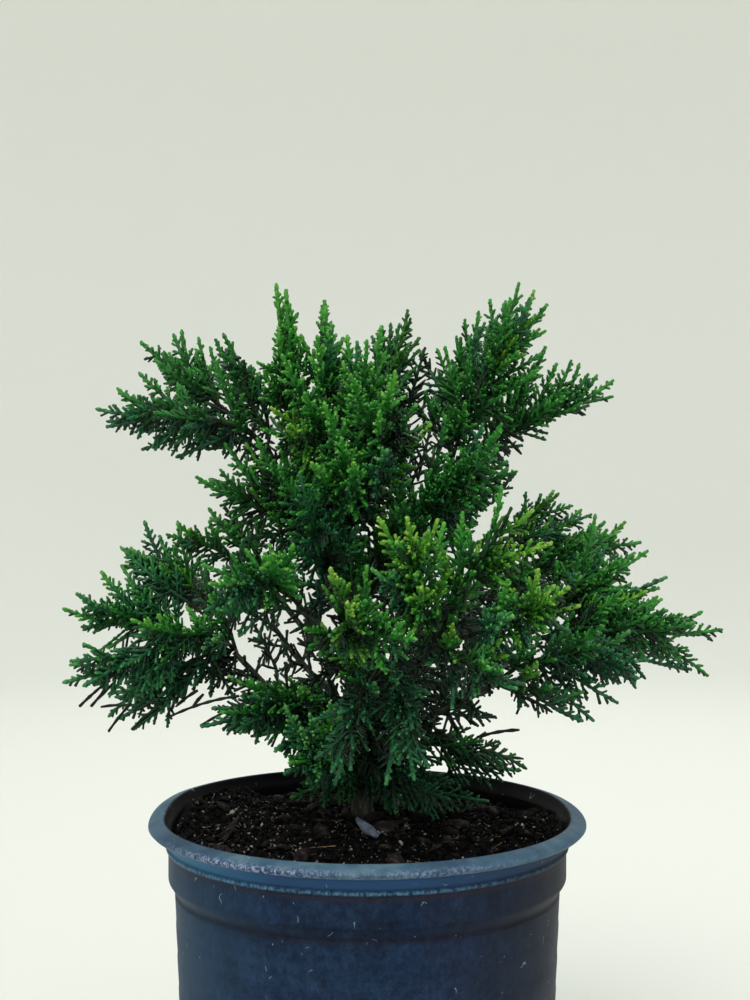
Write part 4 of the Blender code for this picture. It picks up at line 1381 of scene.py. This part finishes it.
def irregular_grains(places, sizes, stretch, draw, lift=0.35, turned_about=True):
    """Vertices and triangles of many rough twelve-cornered grains, turned about if so asked."""
    golden = (1 + 5 ** 0.5) / 2
    corners = []
    for a in (-1, 1):
        for b in (-golden, golden):
            corners += [(0, a, b), (a, b, 0), (b, 0, a)]
    corners = np.array(corners) / math.hypot(1, golden)
    pairs = np.linalg.norm(corners[:, None] - corners[None], axis=2)
    near = (pairs > 0.1) & (pairs < 1.2)
    faces = [
        (a, b, c) for a in range(12) for b in range(a + 1, 12) for c in range(b + 1, 12)
        if near[a, b] and near[b, c] and near[a, c]
    ]
    faces = [
        (a, b, c) if np.dot(np.cross(corners[b] - corners[a], corners[c] - corners[a]), corners[a]) > 0
        else (a, c, b) for a, b, c in faces
    ]
    count = len(places)
    rough = corners[None] * draw.uniform(0.72, 1.18, (count, 12, 1))
    shape = np.stack([draw.uniform(low, high, count) for low, high in stretch], axis=1)
    rough = rough * shape[:, None] * (sizes / 2)[:, None, None]
    turn = draw.uniform(0, math.tau, count) * turned_about
    tilt = draw.normal(0, 0.35, (count, 2)) * turned_about
    cos, sin = np.cos(turn)[:, None], np.sin(turn)[:, None]
    x = rough[..., 0] * cos - rough[..., 1] * sin
    y = rough[..., 0] * sin + rough[..., 1] * cos
    z = rough[..., 2] + x * tilt[:, :1] + y * tilt[:, 1:]
    rise = places[:, 2] + sizes * lift * shape[:, 2]
    verts = np.stack([x + places[:, :1], y + places[:, 1:2], z + rise[:, None]], axis=2)
    index = np.array(faces)[None] + (np.arange(count) * 12)[:, None, None]
    return verts.reshape(-1, 3), index.reshape(-1, 3)


def scattered(count, draw, edge=2.5):
    """Places spread evenly over the soil, clear of the trunk and of the pot's wall."""
    found = []
    reach = COLLAR_RADIUS - WALL - edge
    while len(found) < count:
        radius = reach * math.sqrt(draw.uniform())
        turn = draw.uniform(0, math.tau)
        x, y = radius * math.cos(turn), radius * math.sin(turn)
        if near_trunk(x, y) > 9:
            found.append((x, y, soil_height(x, y)))
    return np.array(found)


def ridden(piece):
    """A piece that rides on the only body."""
    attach(piece, "root")
    return piece


def earth_material(name, dark, middle, light, scale, roughness=0.95):
    """A rough earthy material of three colours, with fine relief."""
    material, tree, shader = new_material(name, middle, roughness)
    shader.inputs["Specular IOR Level"].default_value = 0.12
    place = tree.nodes.new("ShaderNodeTexCoord").outputs["Object"]
    grain = noise_node(tree, place, scale, 8, 0.7)
    colour = ramp_node(tree, grain, [(0.34, dark), (0.52, middle), (0.72, light)])
    tree.links.new(colour, shader.inputs["Base Color"])
    bump_node(tree, shader, grain, 0.6, 0.0006)
    return material


def make_soil():
    """The potting mix with its lumps, crumbs, bark chips, white grains, straws and a stone chip."""
    radii = np.concatenate([np.linspace(1.5, COLLAR_RADIUS - WALL - 0.4, 74)])
    sides = 240
    turn = np.arange(sides) * math.tau / sides
    verts = []
    for radius in radii:
        for angle in turn:
            x, y = radius * math.cos(angle), radius * math.sin(angle)
            verts.append((x, y, soil_height(x, y)))
    for radius, height in (
        (COLLAR_RADIUS - WALL - 0.4, POT_HEIGHT - COLLAR_DEPTH),
        (BODY_TOP_RADIUS - WALL - 0.4, POT_HEIGHT - BODY_TOP_DEPTH),
        (FOOT_RADIUS - WALL - 0.4, FLOOR + GAP),
    ):
        verts += [(radius * math.cos(angle), radius * math.sin(angle), height) for angle in turn]
    rings = len(radii) + 3
    faces = grid_faces(rings, sides)
    verts += [(0, 0, soil_height(0, 0)), (0, 0, FLOOR + GAP)]
    around = np.arange(sides)
    ahead = (around + 1) % sides
    top = np.stack([np.full(sides, len(verts) - 2), ahead, around], axis=1)
    low = (rings - 1) * sides
    bottom = np.stack([np.full(sides, len(verts) - 1), low + around, low + ahead], axis=1)
    faces = np.concatenate([faces, top[:, ::-1], bottom[:, ::-1]])
    earth = earth_material("potting mix", (1, 1, 1), (4, 4, 4), (16, 14, 13), 420)
    soil = ridden(mesh_object("potting_mix", verts, faces, 0, [earth]))
    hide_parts("soil")
    crumbs = earth_material("crumbs", (1, 1, 1), (5, 5, 5), (38, 34, 31), 300)
    bark = earth_material("bark chips", (11, 9, 10), (34, 29, 29), (78, 70, 66), 260)
    white = earth_material("white grains", (54, 50, 54), (116, 112, 112), (216, 214, 206), 240, 0.8)
    pale = earth_material("pebbles", (96, 104, 98), (140, 150, 142), (186, 194, 186), 420, 0.8)
    for seed, name, (count, small, large), shape, lift, material in (
        (11, "soil_crumbs", CRUMBS, ((0.7, 1.3), (0.6, 1.0), (0.5, 0.9)), 0.45, crumbs),
        (12, "bark_chips", CHIPS, ((0.9, 1.2), (0.35, 0.6), (0.14, 0.3)), 0.6, bark),
        (13, "perlite", PERLITE, ((0.8, 1.3), (0.5, 1.0), (0.5, 0.9)), 0.6, white),
        (14, "pebbles", PEBBLES, ((0.8, 1.2), (0.7, 1.0), (0.5, 0.8)), 0.5, pale),
    ):
        draw = np.random.default_rng(seed)
        sizes = small + (large - small) * draw.random(count) ** 1.8
        grains = irregular_grains(scattered(count, draw, large / 2 + 1), sizes, shape, draw, lift)
        ridden(mesh_object(name, *grains, 0, [material]))
    make_straws()
    make_stone()


def make_straws():
    """Pale straws that lie about on the soil."""
    draw = random.Random("straws")
    count, shortest, longest = STRAWS
    places = scattered(count, np.random.default_rng(15), longest / 2 + 2)
    rows = []
    for x, y, z in places:
        turn = draw.uniform(0, math.tau)
        half = mix(shortest, longest, draw.random() ** 3) / 2
        run = Vector((math.cos(turn), math.sin(turn), draw.uniform(-0.2, 0.2))) * half
        middle = Vector((x, y, z + 1.1))
        bend = Vector((-run.y, run.x, 0)) * draw.uniform(-0.3, 0.3)
        radius = draw.uniform(0.12, 0.3)
        rows.append(Cord(middle - run, middle + run, bend).row((radius, radius)))
    verts, faces = plain_tubes(rows, 5, 4, np.random.default_rng(16), 0.6)
    tan = earth_material("straw", (70, 58, 40), (122, 104, 76), (168, 152, 118), 500, 0.8)
    ridden(mesh_object("straws", verts, faces, 0, [tan]))


def make_stone():
    """A long blue-grey stone chip that leans on the soil in front of the trunk."""
    draw = np.random.default_rng(4)
    shape = ((1.0, 1.02), (0.38, 0.4), (0.24, 0.26))
    verts, faces = irregular_grains(np.zeros((1, 3)), np.array([STONE_SIZE]), shape, draw, 0, False)
    turn = Vector(STONE_RUN).to_track_quat("X", "Z").to_matrix()
    verts = verts @ np.array(turn).T + STONE_PLACE
    grey = earth_material("stone chip", (62, 70, 84), (92, 102, 118), (128, 138, 152), 220, 0.75)
    ridden(mesh_object("stone_chip", verts, faces, 0, [grey]))


def limb_surface(path, radii, rings, sides, seed):
    """Vertices and triangles of a limb with bark relief: fibrous strips and small knots."""
    shares = np.linspace(0, 1, rings)
    knots = np.linspace(0, 1, len(path))
    centre = np.stack([np.interp(shares, knots, [point[axis] for point in path]) for axis in range(3)], 1)
    for _ in range(3):
        centre[1:-1] = (centre[:-2] + 2 * centre[1:-1] + centre[2:]) / 4
    radius = np.interp(shares, knots, radii)
    along = np.gradient(centre, axis=0)
    along /= np.linalg.norm(along, axis=1, keepdims=True)
    guide = np.array((1.0, 0.3, 0.1)) if abs(along[0][0]) < 0.7 else np.array((0.1, 1.0, 0.3))
    first = guide - along * (along @ guide)[:, None]
    first /= np.linalg.norm(first, axis=1, keepdims=True)
    second = np.cross(along, first)
    run = np.concatenate([[0], np.cumsum(np.linalg.norm(np.diff(centre, axis=0), axis=1))])
    verts = []
    for ring in range(rings):
        for side in range(sides):
            turn = side * math.tau / sides
            spot = Vector((math.cos(turn) * 2.6 + seed, math.sin(turn) * 2.6, run[ring] / 9))
            strips = noise.noise(spot) + 0.5 * noise.noise(spot * 2.3)
            knot = noise.noise(Vector((turn * 0.7 + seed, run[ring] / 5.5, 4.2)))
            relief = 1 + 0.11 * strips + 0.10 * max(0, knot - 0.25)
            reach = radius[ring] * relief
            way = first[ring] * math.cos(turn) + second[ring] * math.sin(turn)
            verts.append(centre[ring] + way * reach)
    faces = grid_faces(rings, sides)[:, ::-1]
    verts += [centre[0], centre[-1]]
    around = np.arange(sides)
    ahead = (around + 1) % sides
    low = (rings - 1) * sides
    start = np.stack([np.full(sides, len(verts) - 2), ahead, around], axis=1)
    end = np.stack([np.full(sides, len(verts) - 1), low + around, low + ahead], axis=1)
    return np.array(verts), np.concatenate([faces, start, end])


def bark_material():
    """Fibrous bark: grey-brown at the trunk's foot and olive on the younger wood above, painted dark
    there as painted shade inside the crown.
    """
    material, tree, shader = new_material("bark", (44, 50, 32), 0.85)
    place = tree.nodes.new("ShaderNodeTexCoord").outputs["Object"]
    fibres = noise_node(tree, place, 460, 6, 0.7, (1, 1, 0.22))
    patches = noise_node(tree, place, 90, 4, 0.6)
    old = ramp_node(tree, fibres, [(0.32, (18, 18, 17)), (0.5, (46, 46, 42)), (0.7, (92, 92, 84))])
    # Young wood: its olive is its own colour, its darkness is painted shade inside the crown
    young = ramp_node(tree, fibres, [(0.32, (12, 17, 9)), (0.5, (26, 33, 18)), (0.7, (52, 62, 34))])
    age = height_share(tree, place, OLD_WOOD_HEIGHT * MM, YOUNG_WOOD_HEIGHT * MM)
    colour = mix_node(tree, age, old, young)
    spread = ramp_node(tree, patches, [(0.45, (0, 0, 0)), (0.7, (150, 150, 150))])
    colour = mix_node(tree, spread, colour, (28, 32, 20))
    tree.links.new(colour, shader.inputs["Base Color"])
    bump_node(tree, shader, fibres, 0.8, 0.0006)
    return material


def make_limbs(trunk):
    """The trunk and the boughs, with the relief of their bark, in one piece."""
    taper = [min(1, TRUNK_TAPER * (1 - share) + TRUNK_END_SHARE) for share in even_shares(TRUNK_STEPS)]
    radii = [radius * share for radius, share in zip(trunk.radii, taper)]
    parts = [limb_surface(trunk.path, radii, 260, 36, 0)]
    for number, (name, (_, _, root)) in enumerate(BOUGHS.items()):
        slim = root * BOUGH_SLIMNESS
        radii = [mix(slim, BOUGH_END_RADIUS, share) for share in even_shares(BOUGH_STEPS)]
        parts.append(limb_surface(limb_path(trunk, name), radii, 110, 16, number + 1))
    verts, faces, base = [], [], 0
    for part_verts, part_faces in parts:
        verts.append(part_verts)
        faces.append(part_faces + base)
        base += len(part_verts)
    piece = mesh_object(
        "trunk_and_boughs", np.concatenate(verts), np.concatenate(faces), 0, [bark_material()],
    )
    ridden(piece)
    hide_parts("trunk", *BOUGHS)


def make_stage():
    """A plain pale floor whose far edge rises in a curve, all round, to a pale wall."""
    start = STAGE_RADIUS - STAGE_BEND
    profile = [(start / 2, 0), (start - STAGE_RIM, 0), (start, 0)]
    for step in range(1, STAGE_BEND_STEPS + 1):
        turn = step / STAGE_BEND_STEPS * math.pi / 2
        profile.append((
            STAGE_RADIUS - STAGE_BEND + STAGE_BEND * math.sin(turn),
            STAGE_BEND - STAGE_BEND * math.cos(turn),
        ))
    profile += [(STAGE_RADIUS, STAGE_BEND + STAGE_RIM), (STAGE_RADIUS, STAGE_HEIGHT)]
    turn = np.arange(STAGE_SIDES) * math.tau / STAGE_SIDES
    verts = [
        (radius * math.cos(angle), radius * math.sin(angle), height)
        for radius, height in profile for angle in turn
    ]
    faces = grid_faces(len(profile), STAGE_SIDES)
    around = np.arange(STAGE_SIDES)
    middle = np.full(STAGE_SIDES, len(verts))
    floor = np.stack([middle, around, (around + 1) % STAGE_SIDES], axis=1)
    verts.append((0, 0, 0))
    material, _, _ = new_material("pale stage", (212, 213, 206), 0.9)
    mesh_object("stage", verts, np.concatenate([faces, floor]), 0, [material])


def make_light(name, place, target, size, power, colour):
    """A soft area light that looks at a target."""
    lamp = bpy.data.lights.new(name, "AREA")
    lamp.size = size
    lamp.energy = power
    lamp.color = colour
    holder = bpy.data.objects.new(name, lamp)
    holder.location = place
    holder.rotation_euler = (Vector(target) - Vector(place)).to_track_quat("-Z", "Y").to_euler()
    bpy.context.scene.collection.objects.link(holder)


def make_camera():
    """The camera at the photograph's place, level and looking along +Y."""
    camera = bpy.data.cameras.new("camera")
    camera.lens = CAMERA_LENS
    camera.sensor_width = 36
    camera.clip_start = 0.01
    holder = bpy.data.objects.new("camera", camera)
    holder.location = CAMERA_PLACE * MM
    holder.rotation_euler = (math.pi / 2, 0, 0)
    bpy.context.scene.collection.objects.link(holder)
    bpy.context.scene.camera = holder


make_camera()
make_stage()
make_light("key", (-1.2, -2.8, 4.0), (0, 0, 0.25), 2.4, 120, (1, 0.99, 0.95))
make_light("fill", (1.3, -1.0, 0.9), (0, 0, 0.25), 1.4, 4, (0.92, 0.96, 1))
make_light("back", (0.4, 1.6, 1.8), (0, 0, 0.25), 1.4, 12, (1, 1, 1))
world = bpy.data.worlds.new("soft sky")
world.use_nodes = True
world.node_tree.nodes["Background"].inputs["Color"].default_value = (0.93, 0.97, 1, 1)
world.node_tree.nodes["Background"].inputs["Strength"].default_value = 1.15
bpy.context.scene.world = world
bpy.context.scene.view_settings.view_transform = "Standard"
trunk = Trunk()
make_pot()
make_soil()
make_limbs(trunk)
make_foliage(trunk)
